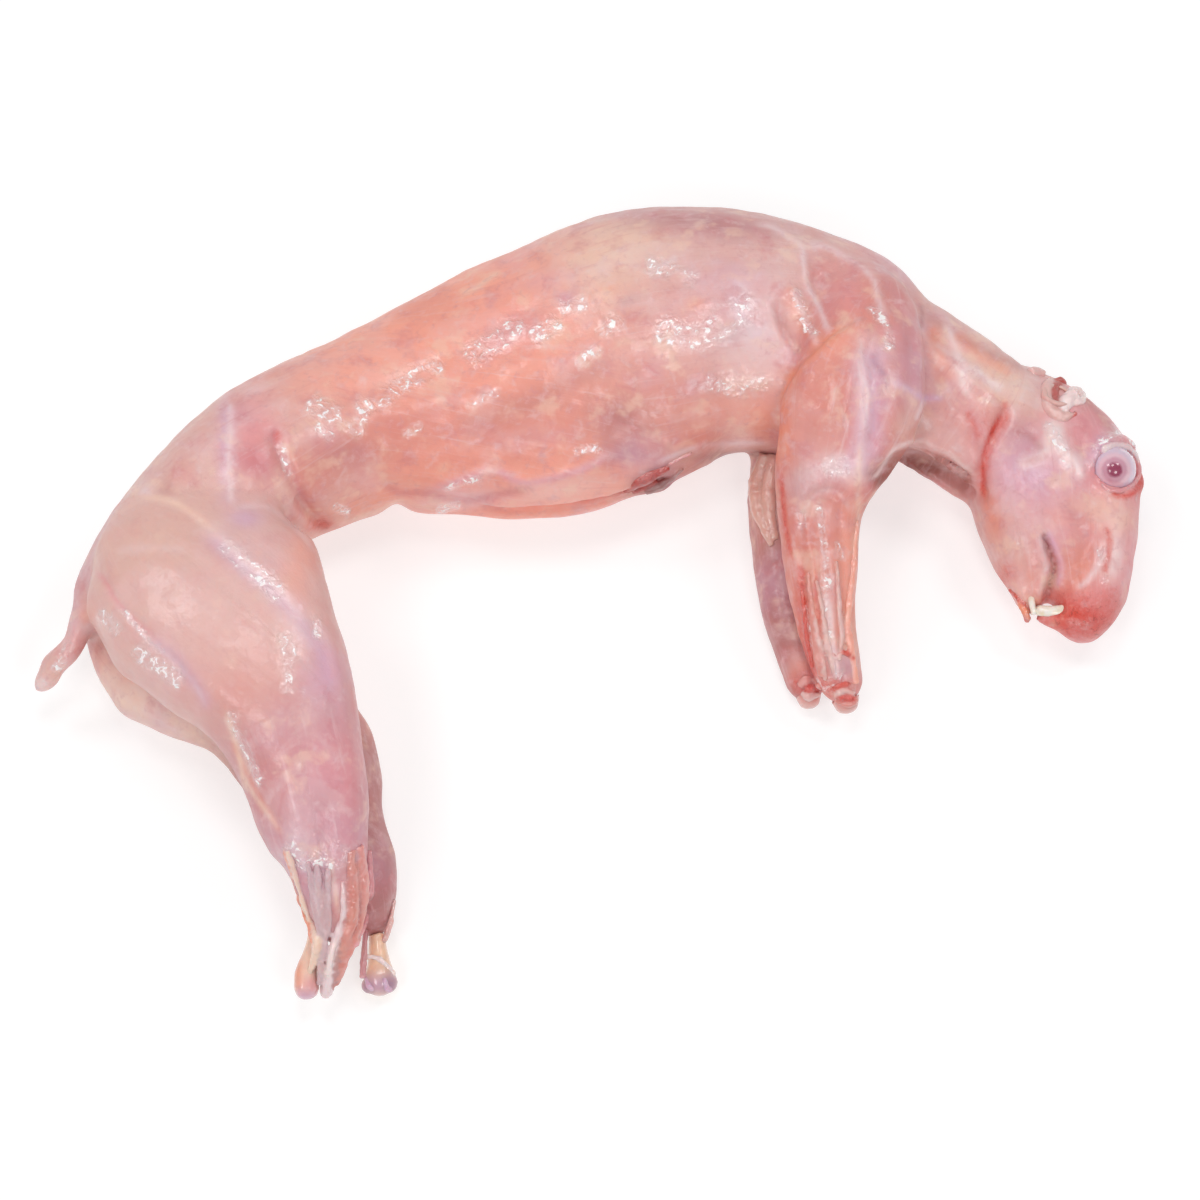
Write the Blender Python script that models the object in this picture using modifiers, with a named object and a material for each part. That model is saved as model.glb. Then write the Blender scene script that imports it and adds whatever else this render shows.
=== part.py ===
"""A skinned, dressed domestic rabbit lying on its left side, head on, feet and ears cut off.

Blender 4.5. Run with: blender --background --python part.py
Metres, +Z up. +X runs from the tail to the head, +Y from the belly to the back.
The outline was measured in a plane that faces a viewer who looks down at SIGHT above the
table, so each place is given as across, up and height: across along +X, up in that plane,
and height over the table. All three are in millimetres.
"""

import math

import bmesh
import bpy
from mathutils import Matrix, Vector

MM = 0.001
SIGHT = math.radians(66)
GAP = 0.3
FLOOR_TRIM = 1.2

HEAD_HEIGHT = 21.8
EYE_RADIUS = 8.3
EYE_PLACE = (173, 44)
EYE_OUT = 12.2
EAR_PLACE = (154.5, 68)
EAR_OUT = 13.5
EAR_RADIUS = 5.4
EAR_WALL = 1.3
EAR_LENGTH = 8
EAR_SLANT = 1.5
EAR_LEAN = (0.30, 0.12, 0.94)
INCISOR_SPACING = 1.75
NOSTRIL_PLACE = (163, -13)
NOSTRIL_OUT = 3.2
NOSTRIL_DROP = 2
NOSTRIL_RADII = (1.6, 3.4, 1.7)
HEAD_LOW = -10
HEAD_HIGH = 52
HEAD_MELT = 1.2
HEAD_ROUNDS = 5
HEAD_TRIANGLES = 1500
DOME_ANGLES = (38, 68)
CREASE_ANGLE = 40

# Where each loft is parted into two nodes, counted in stations from its start.
KNEE_RIGHT = 3.5
KNEE_LEFT = 2.5
ELBOW_RIGHT = 5.5
ELBOW_LEFT = 3.5
FIRST_RIB = 8.5
LAST_LUMBAR = 4.5

FLESH = (0.80, 0.42, 0.36, 1)
PALE_FLESH = (0.80, 0.52, 0.46, 1)
BONE = (0.83, 0.66, 0.50, 1)
ENAMEL = (0.90, 0.84, 0.72, 1)
CARTILAGE = (0.86, 0.68, 0.66, 1)
EYEBALL = (0.62, 0.48, 0.56, 1)

# Each station is (across, up, height, half width seen, half depth).
TRUNK = [
    (-166, 0, 40, 10, 10),
    (-150, 12, 40, 19, 23),
    (-132, 28, 39, 24, 29),
    (-116, 42, 36, 26.5, 30),
    (-101, 51, 32, 28, 29),
    (-82, 59, 29, 30, 28),
    (-60, 65, 28, 36, 27),
    (-34, 71, 29, 44, 28),
    (-8, 78, 32, 47.5, 31),
    (14, 87, 34, 47, 33.5),
    (36, 92, 35, 43, 33.5),
    (56, 91, 36, 40, 31),
    (74, 87.5, 36, 37.5, 27),
    (90, 83, 36, 34, 23),
    (103, 78.5, 35, 26, 19),
]
NECK = [
    (88, 84, 36, 27, 20),
    (103, 76.5, 34, 27.5, 20),
    (115, 70, 31, 26, 19),
    (128, 61, 28, 25.5, 18),
    (138, 55, 25, 25, 17.5),
    (147, 51, 23, 21, 15),
]
TAIL = [
    (-165, 4, 38, 6.5, 7),
    (-173, -9, 36, 5.2, 6),
    (-178.5, -18, 31, 4.7, 5),
    (-183, -24.5, 25, 4.2, 4.4),
    (-186, -28, 21, 3, 3),
]
THIGH_RIGHT = [
    (-134, 30, 52, 26, 14),
    (-130, 7, 55, 38.5, 20.5),
    (-118, -10.5, 56, 34, 21.5),
    (-105.5, -28, 54, 26.5, 20.5),
    (-97, -48, 48, 21, 18.5),
    (-91.5, -70, 41, 18, 16.5),
    (-88, -81, 37, 14, 13.5),
    (-85.6, -92, 32.5, 10.8, 11),
    (-84.8, -100, 29, 8.2, 8.8),
    (-84.6, -104.5, 27, 6, 6.8),
]
THIGH_LEFT = [
    (-153, 2, 22, 26, 15),
    (-136, -13, 19, 34, 18.6),
    (-112, -33, 18, 24, 17.6),
    (-96, -54, 17, 23, 16.3),
    (-89, -75, 15, 18.5, 14.3),
    (-80.5, -89, 12.7, 14.8, 12),
    (-75.8, -98, 11, 10, 9.6),
    (-73.6, -104, 9.8, 6.2, 7),
]
SHOULDER_RIGHT = [
    (84, 114, 50, 9, 5),
    (86, 102, 56, 19, 9),
    (88, 85, 59, 20.5, 12.5),
    (85, 68, 59, 23, 14.5),
    (80, 54, 55, 21, 14),
    (75, 40, 49, 17.2, 12.5),
    (73, 27, 43, 13.4, 11),
    (73.5, 10, 36, 12, 10),
    (75, -7, 29, 9.8, 9),
    (78, -19, 24, 8.4, 8),
    (80.5, -28, 20, 6.8, 6.8),
]
SHOULDER_LEFT = [
    (84, 92, 14, 9, 8),
    (82, 78, 14, 18, 11),
    (76, 62, 13.5, 21, 12),
    (68, 46, 12.6, 17, 11.8),
    (62, 32, 11.8, 11.5, 10.8),
    (62, 15, 10.8, 9.5, 9.6),
    (63.5, -3, 9.8, 8.2, 8.5),
    (66.5, -18, 8.8, 7.2, 7.5),
    (69.5, -28, 8.3, 6.2, 6.6),
]
SKULL = [
    (146, 74, 3, 7, 9),
    (152, 65, 2, 12, 14),
    (160.5, 54, 1, 15.5, 16.5),
    (167, 42, 0.5, 16.5, 18),
    (169, 29, 0, 14, 16),
    (168, 15, -1, 12.4, 13),
    (165.5, 2, -1.5, 11.8, 11.6),
    (162, -6, -2, 9, 10),
]
JAW = [
    (142, 60, 1, 10, 12),
    (141, 49, 1, 14.4, 17.5),
    (142.5, 36, 0, 16, 20),
    (144, 23, -1, 14, 18),
    (145, 12, -1.5, 11.4, 13.5),
    (145, 5, -2, 8, 9),
    (144.5, 1, -2, 5.4, 6),
]
CHEEK = [
    (150, 56, 1, 15, 16),
    (154, 43, 0, 17, 20),
    (156, 29, -0.5, 15.5, 18.5),
    (156.5, 17, -1, 12, 14.5),
    (157, 6, -1.5, 9, 10),
]
# The cuts made in dressing: the belly slit, the open throat and the mouth.
BELLY_SLIT = [
    (-80, 31, 27, 8, 1.2),
    (-60, 31, 26.5, 8, 1.5),
    (-34, 28, 27, 9, 1.8),
    (-8, 31, 30, 9, 2),
    (14, 42, 32, 9, 2),
    (31, 52, 33, 8, 1.2),
]
THROAT = [
    (86, 47, 31, 5, 5),
    (98, 47, 30, 6, 7.5),
    (105, 46.5, 29, 6.5, 8),
    (111, 44.5, 28, 6.5, 8),
    (118, 41, 26.5, 6, 7.5),
    (126, 36.5, 25, 5, 6),
]
MOUTH_EDGE = [(147.2, 23.5), (147.6, 20), (149.6, 15), (150.2, 9), (149.6, 4), (148.4, 0), (148, -3.2),
              (147.4, -16)]
LIP_EDGE = [(147.6, 23.9), (148.6, 20), (151.2, 15), (152.4, 8.8), (151.2, 4.3), (149.6, 0),
            (149.4, -2), (145.4, -3), (143, -16)]
JAW_ANGLE = [(118, -16), (118, 34), (132, 32), (144, 25.5)]
JAW_ANGLE_GROWN = [(118, -16), (118, 34.4), (132.1, 32.4), (144.2, 25.9)]
LIP = [
    (160, -7, 0, 5, 6),
    (152, -7, 0, 2.4, 3.8),
    (146.8, -5.8, 0, 1, 2.2),
]
LIP_CUT = (150, -2.5, 11.5)
LIP_CUT_RADII = (9, 5, 8)
SCRAP = [
    (141.5, 2, -1, 2, 2),
    (142.6, -4.5, -1.5, 1.3, 1.4),
    (143.7, -7.6, -2, 0.7, 0.8),
]

SHIN_BONE_RIGHT = [
    (-95.5, -91, 30, 2.2, 2.6),
    (-93.9, -98, 27, 2.2, 2.6),
    (-91.6, -106, 23.5, 2.1, 2.6),
    (-92.6, -113, 20.5, 2.5, 3),
    (-94.4, -120, 18, 3.7, 4),
    (-94.2, -124.6, 16.5, 4.1, 4.4),
]
SHIN_BONE_LEFT = [
    (-73.6, -100, 9.6, 3.2, 4),
    (-73, -106, 9, 3, 3.8),
    (-72.4, -112, 8.4, 2.8, 3.6),
    (-71.8, -117.5, 7.8, 3.6, 4.2),
    (-71.4, -122, 7.2, 5, 5),
    (-71.4, -124.5, 7, 4.4, 4.6),
]
SHIN_KNOBS_LEFT = [(-74.9, -125, 6.8, 2.5), (-69, -124, 6.8, 3.4)]
FOOT_TENDON_RIGHT = [
    (-83.9, -97, 27, 2, 2.4),
    (-83.2, -105, 24, 2, 2.4),
    (-85.2, -112, 20.5, 2, 2.4),
    (-86.8, -119, 18, 2.3, 2.6),
    (-87.8, -125.5, 16, 2.3, 2.6),
]
WRIST_BONE_RIGHT = [
    (80.4, -28, 20.5, 4.7, 4.8),
    (81.3, -31.5, 18.8, 5, 5.2),
    (81.8, -34, 17.6, 4.4, 4.6),
]
WRIST_BONE_LEFT = [
    (69.4, -28, 8.6, 4.4, 4.6),
    (69.9, -31, 8, 4.7, 4.8),
    (70.2, -33, 7.6, 4.1, 4.2),
]
UPPER_INCISOR = [
    (158, -3.2, 0, 1.5, 1.45),
    (154, -3.9, 0, 1.4, 1.45),
    (150.5, -4.1, 0, 1.3, 1.4),
    (147.8, -3.6, 0, 1.0, 1.2),
]
LOWER_INCISOR = [
    (144.6, 3, -1, 1.4, 1.4),
    (144.8, -1, -0.5, 1.3, 1.4),
    (145.3, -4.2, 0, 0.9, 1.2),
]
FLAP_PLACE = (18, 37.5, 24)
FLAP_RADII = (8, 5, 4)


def start_empty():
    """Remove whatever the open file holds, so the script can run again."""
    for old in list(bpy.data.objects):
        bpy.data.objects.remove(old)


def collection(name):
    """A new collection in the scene."""
    made = bpy.data.collections.new(name)
    bpy.context.scene.collection.children.link(made)
    return made


def finish_of(name, colour, roughness):
    """A plain Principled material."""
    made = bpy.data.materials.new(name)
    made.use_nodes = True
    shader = made.node_tree.nodes["Principled BSDF"]
    shader.inputs["Base Color"].default_value = colour
    shader.inputs["Roughness"].default_value = roughness
    return made


def on_table(across, up, height):
    """The world point, in metres, of a place given as it is seen and by its height."""
    away = (up - height * math.cos(SIGHT)) / math.sin(SIGHT)
    return Vector((across, away, height)) * MM


def between(stations, at):
    """A station at any distance along the list, on a Catmull-Rom curve through it."""
    low = min(int(at), len(stations) - 2)
    t = at - low
    last = len(stations) - 1
    before, start, end, after = (
        stations[min(max(low + step, 0), last)] for step in (-1, 0, 1, 2)
    )
    return tuple(
        0.5 * (2 * b + (c - a) * t + (2 * a - 5 * b + 4 * c - d) * t**2
               + (3 * b - a - 3 * c + d) * t**3)
        for a, b, c, d in zip(before, start, end, after)
    )


def section(stations, at):
    """Centre, the two axes and the true half sizes of the section at a place on a loft."""
    step = 0.05
    ahead = between(stations, min(at + step, len(stations) - 1))
    behind = between(stations, max(at - step, 0))
    along = (on_table(*ahead[:3]) - on_table(*behind[:3])).normalized()
    side = Vector((0, 0, 1)).cross(along).normalized()
    top = along.cross(side)
    across, up, height, seen, depth = between(stations, at)
    rise = side.y * math.sin(SIGHT)
    length = math.hypot(side.x, rise)
    turn = rise / length
    hidden = depth * turn * math.cos(SIGHT)
    width = math.sqrt(max(seen**2 - hidden**2, 1)) / length
    return on_table(across, up, height), side, top, width * MM, depth * MM, along


def new_object(name, shape, target):
    """A mesh object made from a bmesh, with its faces turned outwards."""
    bmesh.ops.recalc_face_normals(shape, faces=shape.faces)
    mesh = bpy.data.meshes.new(name)
    shape.to_mesh(mesh)
    shape.free()
    made = bpy.data.objects.new(name, mesh)
    target.objects.link(made)
    return made


def loft(name, stations, target, sides=16, steps=2, square=2.3, bulge=0.45):
    """A closed tube of rounded sections with domed ends."""
    shape = bmesh.new()
    spans = len(stations) - 1
    places = [n / steps for n in range(spans * steps + 1)]
    dome_angles = [math.radians(angle) for angle in DOME_ANGLES]
    ways = {0: -1, len(places) - 1: 1}
    rings = []
    for n, at in enumerate(places):
        centre, side, top, width, depth, along = section(stations, at)
        scales = [(0, 1)]
        if n in ways:
            dome = [(ways[n] * bulge * math.sin(a), math.cos(a)) for a in dome_angles]
            scales = [(0, 1), *dome] if ways[n] > 0 else [*reversed(dome), (0, 1)]
        for push, scale in scales:
            ring = []
            for k in range(sides):
                angle = math.tau * k / sides
                c, s = math.cos(angle), math.sin(angle)
                x = math.copysign(abs(c) ** (2 / square), c) * width * scale
                y = math.copysign(abs(s) ** (2 / square), s) * depth * scale
                spot = centre + side * x + top * y + along * push * min(width, depth) * 2
                ring.append(shape.verts.new(spot))
            rings.append(ring)
    for low, high in zip(rings, rings[1:]):
        for k in range(sides):
            shape.faces.new((low[k], low[(k + 1) % sides], high[(k + 1) % sides], high[k]))
    shape.faces.new(rings[0])
    shape.faces.new(rings[-1])
    bmesh.ops.triangulate(shape, faces=[f for f in shape.faces if len(f.verts) > 4])
    return new_object(name, shape, target)


def ball(name, centre, radii, target, segments=20, rings=12, turn=None):
    """An ellipsoid with its half sizes in metres."""
    shape = bmesh.new()
    bmesh.ops.create_uvsphere(shape, u_segments=segments, v_segments=rings, radius=1)
    place = Matrix.Translation(centre) @ (turn or Matrix.Identity(4)) @ Matrix.Diagonal((*radii, 1))
    bmesh.ops.transform(shape, matrix=place, verts=shape.verts)
    return new_object(name, shape, target)


def block(name, point, normal, target, size=0.5):
    """A large cube whose one face lies through the point, on the normal's side."""
    shape = bmesh.new()
    bmesh.ops.create_cube(shape, size=size)
    turn = Vector(normal).to_track_quat("Z", "Y").to_matrix().to_4x4()
    place = Matrix.Translation(Vector(point)) @ turn @ Matrix.Translation((0, 0, size / 2))
    bmesh.ops.transform(shape, matrix=place, verts=shape.verts)
    return new_object(name, shape, target)


def apply_modifiers(made):
    """Give the object the mesh that its modifiers make."""
    bpy.context.view_layer.update()
    graph = bpy.context.evaluated_depsgraph_get()
    mesh = bpy.data.meshes.new_from_object(made.evaluated_get(graph))
    made.modifiers.clear()
    made.data = mesh


def keep_largest(made):
    """Keep only the largest closed surface of the object."""
    shape = bmesh.new()
    shape.from_mesh(made.data)
    left = set(shape.verts)
    bodies = []
    while left:
        grown = {left.pop()}
        edge = list(grown)
        while edge:
            vert = edge.pop()
            near = {e.other_vert(vert) for e in vert.link_edges} & left
            left -= near
            grown |= near
            edge.extend(near)
        bodies.append(grown)
    largest = max(bodies, key=len)
    bmesh.ops.delete(shape, geom=[v for v in shape.verts if v not in largest], context="VERTS")
    bmesh.ops.triangulate(shape, faces=[face for face in shape.faces if len(face.verts) > 4])
    shape.to_mesh(made.data)
    shape.free()


def combine(made, other, operation, solver="EXACT"):
    """One Boolean with another closed object, applied, and the other one removed."""
    step = made.modifiers.new(operation.lower(), "BOOLEAN")
    step.operation = operation
    step.solver = solver
    step.object = other
    apply_modifiers(made)
    keep_largest(made)
    bpy.data.objects.remove(other)


def copy_of(made, name, target):
    """A copy with a mesh of its own."""
    twin = made.copy()
    twin.data = made.data.copy()
    twin.name = name
    target.objects.link(twin)
    return twin


def swollen(made, target, by=GAP):
    """A copy that is larger all round by the gap that touching pieces keep."""
    twin = copy_of(made, made.name + "_swollen", target)
    shape = bmesh.new()
    shape.from_mesh(twin.data)
    shape.normal_update()
    for vert in shape.verts:
        vert.co += vert.normal * by * MM * vert.calc_shell_factor()
    shape.to_mesh(twin.data)
    shape.free()
    return twin


def clear_of(made, others, cutters):
    """Cut the object back from others that it rests against."""
    for other in others:
        combine(made, swollen(other, cutters), "DIFFERENCE")


def split(made, name, point, normal, cutters):
    """Part the object with a thin flat cut. The new object is what lies beyond the plane.

    Where the belly slit crosses the plane, the exact solver leaves the chest open, so these
    cuts take the manifold solver.
    """
    normal = Vector(normal).normalized()
    half = normal * GAP / 2 * MM
    beyond = copy_of(made, name, made.users_collection[0])
    combine(made, block("cut", point - half, normal, cutters), "DIFFERENCE", "MANIFOLD")
    combine(beyond, block("cut", point + half, -normal, cutters), "DIFFERENCE", "MANIFOLD")
    return beyond


def trim_to_floor(made, cutters):
    """A small flat where the object lies on the table."""
    combine(made, block("floor", (0, 0, FLOOR_TRIM * MM), (0, 0, -1), cutters), "DIFFERENCE")


def split_loft(made, name, stations, at, cutters):
    """Part a loft across its own line."""
    centre, _, _, _, _, along = section(stations, at)
    return split(made, name, centre, along, cutters)


def soften(made, voxel, rounds, triangles):
    """Melt joined lofts into one smooth surface of about so many triangles."""
    melt = made.modifiers.new("melt", "REMESH")
    melt.mode = "VOXEL"
    melt.voxel_size = voxel * MM
    smooth = made.modifiers.new("smooth", "SMOOTH")
    smooth.factor = 0.5
    smooth.iterations = rounds
    apply_modifiers(made)
    thin = made.modifiers.new("thin", "DECIMATE")
    thin.ratio = triangles / (2 * len(made.data.polygons))
    apply_modifiers(made)


def outline_block(name, edge, low, high, target):
    """A flat outline, seen at mid height, made as thick as the space between two heights."""
    curve = bpy.data.curves.new(name, "CURVE")
    curve.dimensions = "2D"
    curve.fill_mode = "BOTH"
    curve.extrude = (high - low) / 2 * MM
    line = curve.splines.new("POLY")
    line.points.add(len(edge) - 1)
    middle = (high + low) / 2
    for point, (across, up) in zip(line.points, edge):
        spot = on_table(across, up, middle)
        point.co = (spot.x, spot.y, 0, 1)
    line.use_cyclic_u = True
    drawn = bpy.data.objects.new(name, curve)
    target.objects.link(drawn)
    bpy.context.view_layer.update()
    graph = bpy.context.evaluated_depsgraph_get()
    shape = bmesh.new()
    shape.from_mesh(bpy.data.meshes.new_from_object(drawn.evaluated_get(graph)))
    bpy.data.objects.remove(drawn)
    bmesh.ops.remove_doubles(shape, verts=shape.verts, dist=1e-6)
    bmesh.ops.translate(shape, verts=shape.verts, vec=(0, 0, middle * MM))
    return new_object(name, shape, target)


def above_middle(stations, out=0.0):
    """Stations of the head, whose heights are counted from its middle."""
    return [(a, u, HEAD_HEIGHT + h + out, w, d) for a, u, h, w, d in stations]


def make_head(body, cutters):
    """Skull, cheeks and jaw melted into one form, then parted at the mouth."""
    head = loft("head", above_middle(SKULL), body, sides=24)
    combine(head, loft("jaw", above_middle(JAW), body, sides=22), "UNION")
    combine(head, loft("cheek", above_middle(CHEEK), body, sides=22), "UNION")
    combine(head, loft("lip", above_middle(LIP), body, sides=14), "UNION")
    soften(head, HEAD_MELT, HEAD_ROUNDS, HEAD_TRIANGLES)
    for side in (1, -1):
        nostril = on_table(*NOSTRIL_PLACE, HEAD_HEIGHT + NOSTRIL_OUT * side - NOSTRIL_DROP)
        pit = ball("nostril", nostril, [r * MM for r in NOSTRIL_RADII], cutters, 10, 6)
        combine(head, pit, "DIFFERENCE")
        across, up, out = LIP_CUT
        bared = ball("bared", seen_beside_head((across, up), out, side),
                     [r * MM for r in LIP_CUT_RADII], cutters, 20, 12)
        combine(head, bared, "DIFFERENCE")
    lower_jaw = copy_of(head, "lower_jaw", body)
    mandible = outline_block("mandible", MOUTH_EDGE + JAW_ANGLE, HEAD_LOW, HEAD_HIGH, cutters)
    combine(lower_jaw, mandible, "INTERSECT")
    combine(lower_jaw, loft("scrap", above_middle(SCRAP), body, 10, 2), "UNION")
    upper = outline_block("upper", LIP_EDGE + JAW_ANGLE_GROWN, HEAD_LOW, HEAD_HIGH, cutters)
    combine(head, upper, "DIFFERENCE")
    return head, lower_jaw


def mirrored_height(out, side):
    """Height of a place so far to one side of the head's middle; side is 1 for the right."""
    return HEAD_HEIGHT + out * side


def make_eyes(head, body, cutters):
    """Two eyeballs in their sockets."""
    for name, side in (("eye_right", 1), ("eye_left", -1)):
        spot = seen_beside_head(EYE_PLACE, EYE_OUT, side)
        eye = ball(name, spot, (EYE_RADIUS * MM,) * 3, body, 18, 10)
        clear_of(head, [eye], cutters)


def seen_beside_head(place, out, side):
    """A place on the right side of the head as it is seen, or its mirror image on the left."""
    spot = on_table(*place, mirrored_height(out, 1))
    spot.z = mirrored_height(out, side) * MM
    return spot


def make_ears(head, neck, body, cutters):
    """The cartilage cup that is left of each ear."""
    for name, side in (("ear_right", 1), ("ear_left", -1)):
        spot = seen_beside_head(EAR_PLACE, EAR_OUT, side)
        lean = Vector((EAR_LEAN[0], EAR_LEAN[1], EAR_LEAN[2] * side)).normalized()
        turn = lean.to_track_quat("Z", "Y").to_matrix().to_4x4()
        deep = spot + lean * EAR_LENGTH / 2 * MM
        cup = tube_end(name, spot, turn, EAR_RADIUS, EAR_SLANT, body)
        hollow = tube_end("hollow", deep, turn, EAR_RADIUS - EAR_WALL, 0, cutters)
        combine(cup, hollow, "DIFFERENCE")
        clear_of(cup, [head, neck], cutters)


def tube_end(name, centre, turn, radius, slant, target):
    """A short round stub that widens to its outer end, which is cut on a slant."""
    shape = bmesh.new()
    bmesh.ops.create_cone(
        shape, cap_ends=True, segments=16, radius1=0.8 * radius * MM, radius2=radius * MM,
        depth=EAR_LENGTH * MM,
    )
    for vert in shape.verts:
        if vert.co.z > 0:
            vert.co.z -= slant * vert.co.x / radius
    bmesh.ops.transform(shape, matrix=Matrix.Translation(centre) @ turn, verts=shape.verts)
    return new_object(name, shape, target)


def make_teeth(head, lower_jaw, body, cutters):
    """Two upper and two lower incisors in their sockets, a hair apart at the head's middle."""
    for name, side in (("right", 1), ("left", -1)):
        out = INCISOR_SPACING * side
        upper = loft("upper_incisor_" + name, above_middle(UPPER_INCISOR, out), body, 8, 2)
        lower = loft("lower_incisor_" + name, above_middle(LOWER_INCISOR, out), body, 8, 2)
        clear_of(lower, [upper], cutters)
        clear_of(head, [upper], cutters)
        clear_of(lower_jaw, [lower, upper], cutters)
        clear_of(head, [lower], cutters)


def make_trunk(body, cutters):
    """The trunk with its belly slit and the flap of diaphragm that shows in it."""
    trunk = loft("trunk", TRUNK, body, sides=26, steps=3)
    combine(trunk, loft("slit", BELLY_SLIT, cutters, 12, 2), "DIFFERENCE")
    combine(trunk, loft("throat", THROAT, cutters, 14, 2), "DIFFERENCE")
    flap = ball("flap", on_table(*FLAP_PLACE), [r * MM for r in FLAP_RADII], body, 14, 8)
    combine(trunk, flap, "UNION")
    trim_to_floor(trunk, cutters)
    return trunk


def make_leg(name, stations, sides, others, cutters, body):
    """A whole leg laid against the others that were made before it."""
    leg = loft(name, stations, body, sides=sides)
    trim_to_floor(leg, cutters)
    clear_of(leg, others, cutters)
    return leg


def make_bone(name, stations, others, cutters, body, knobs=()):
    """A bare bone end or tendon that stands out of a leg."""
    bone = loft(name, stations, body, sides=10, steps=2)
    for knob in knobs:
        combine(bone, ball("knob", on_table(*knob[:3]), (knob[3] * MM,) * 3, body, 12, 8), "UNION")
    trim_to_floor(bone, cutters)
    clear_of(bone, others, cutters)
    return bone


def colour_all(body):
    """Give each node its material, and shade it smooth except at its cut edges."""
    flesh = finish_of("flesh", FLESH, 0.3)
    kinds = {
        "thigh": finish_of("pale flesh", PALE_FLESH, 0.3),
        "bone": finish_of("bone", BONE, 0.4),
        "tendon": finish_of("tendon", CARTILAGE, 0.3),
        "ear": finish_of("ear cartilage", CARTILAGE, 0.35),
        "eye": finish_of("eyeball", EYEBALL, 0.08),
        "incisor": finish_of("enamel", ENAMEL, 0.25),
    }
    for node in body.objects:
        words = node.name.split("_")
        found = [kinds[word] for word in words if word in kinds]
        node.data.materials.clear()
        node.data.materials.append(found[0] if found else flesh)
        node.data.shade_smooth()
        node.data.set_sharp_from_angle(angle=math.radians(CREASE_ANGLE))


def stand_on_origin(body):
    """Move every node so that the origin is under the middle of the whole, on the table."""
    corners = [vert.co for node in body.objects for vert in node.data.vertices]
    low = [min(c[i] for c in corners) for i in range(3)]
    high = [max(c[i] for c in corners) for i in range(3)]
    shift = Matrix.Translation((-(low[0] + high[0]) / 2, -(low[1] + high[1]) / 2, -low[2]))
    for node in body.objects:
        node.data.transform(shift)


def main():
    start_empty()
    body = collection("rabbit")
    cutters = collection("cutters")
    trunk = make_trunk(body, cutters)
    head, lower_jaw = make_head(body, cutters)
    neck = loft("neck", NECK, body, sides=20)
    combine(neck, loft("throat", THROAT, cutters, 14, 2), "DIFFERENCE")
    clear_of(neck, [trunk, head, lower_jaw], cutters)
    make_eyes(head, body, cutters)
    make_ears(head, neck, body, cutters)
    make_teeth(head, lower_jaw, body, cutters)

    thigh_right = make_leg("thigh_right", THIGH_RIGHT, 18, [trunk], cutters, body)
    thigh_left = make_leg("thigh_left", THIGH_LEFT, 18, [trunk, thigh_right], cutters, body)
    arm_right = make_leg("upper_arm_right", SHOULDER_RIGHT, 16, [trunk, neck], cutters, body)
    arm_left = make_leg("upper_arm_left", SHOULDER_LEFT, 16, [trunk, neck, arm_right], cutters, body)
    tail = loft("tail", TAIL, body, sides=12, steps=2)
    clear_of(tail, [trunk, thigh_right, thigh_left], cutters)

    shin = make_bone("shin_bone_right", SHIN_BONE_RIGHT, [thigh_right, thigh_left], cutters, body)
    make_bone("foot_tendon_right", FOOT_TENDON_RIGHT, [thigh_right, thigh_left, shin], cutters, body)
    make_bone("shin_bone_left", SHIN_BONE_LEFT, [thigh_left, thigh_right], cutters, body,
              SHIN_KNOBS_LEFT)
    wrist = make_bone("wrist_bone_right", WRIST_BONE_RIGHT, [arm_right, arm_left], cutters, body)
    make_bone("wrist_bone_left", WRIST_BONE_LEFT, [arm_left, arm_right, wrist], cutters, body)

    split_loft(thigh_right, "shank_right", THIGH_RIGHT, KNEE_RIGHT, cutters)
    split_loft(thigh_left, "shank_left", THIGH_LEFT, KNEE_LEFT, cutters)
    split_loft(arm_right, "forearm_right", SHOULDER_RIGHT, ELBOW_RIGHT, cutters)
    split_loft(arm_left, "forearm_left", SHOULDER_LEFT, ELBOW_LEFT, cutters)
    chest = split_loft(trunk, "front", TRUNK, FIRST_RIB, cutters)
    loin = split_loft(trunk, "middle", TRUNK, LAST_LUMBAR, cutters)
    trunk.name, loin.name, chest.name = "pelvis", "loin", "chest"

    colour_all(body)
    stand_on_origin(body)


main()
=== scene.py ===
"""The looks of a skinned, dressed domestic rabbit that lies on its left side.

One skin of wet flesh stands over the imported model's muscles. The eyes, ear stumps, teeth,
bones and tendons are pieces of their own. Metres, +Z up, +X to the head, +Y to the back.
Places that were read from the photograph are in its pixels, 1200 wide, and land on the
model along the camera's line of sight.
"""

import math

import bpy
import numpy as np
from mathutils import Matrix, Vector, noise
from mathutils.bvhtree import BVHTree
from mathutils.kdtree import KDTree


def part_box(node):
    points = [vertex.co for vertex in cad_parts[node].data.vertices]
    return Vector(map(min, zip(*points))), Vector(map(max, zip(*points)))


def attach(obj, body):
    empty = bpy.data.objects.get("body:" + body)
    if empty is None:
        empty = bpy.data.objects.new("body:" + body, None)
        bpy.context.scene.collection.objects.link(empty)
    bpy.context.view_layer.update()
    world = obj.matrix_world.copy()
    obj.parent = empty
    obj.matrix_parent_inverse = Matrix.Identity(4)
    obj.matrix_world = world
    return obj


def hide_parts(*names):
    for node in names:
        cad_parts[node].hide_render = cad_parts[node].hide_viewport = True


bl_info = {
    "name": "Dressed Rabbit Looks",
    "version": (1, 0, 0),
    "blender": (4, 5, 0),
    "location": "View3D > Sidebar > Rabbit",
    "description": "Flesh, eyes, ears, teeth and bones of a dressed rabbit, and its stage",
    "category": "Add Mesh",
}

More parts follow.
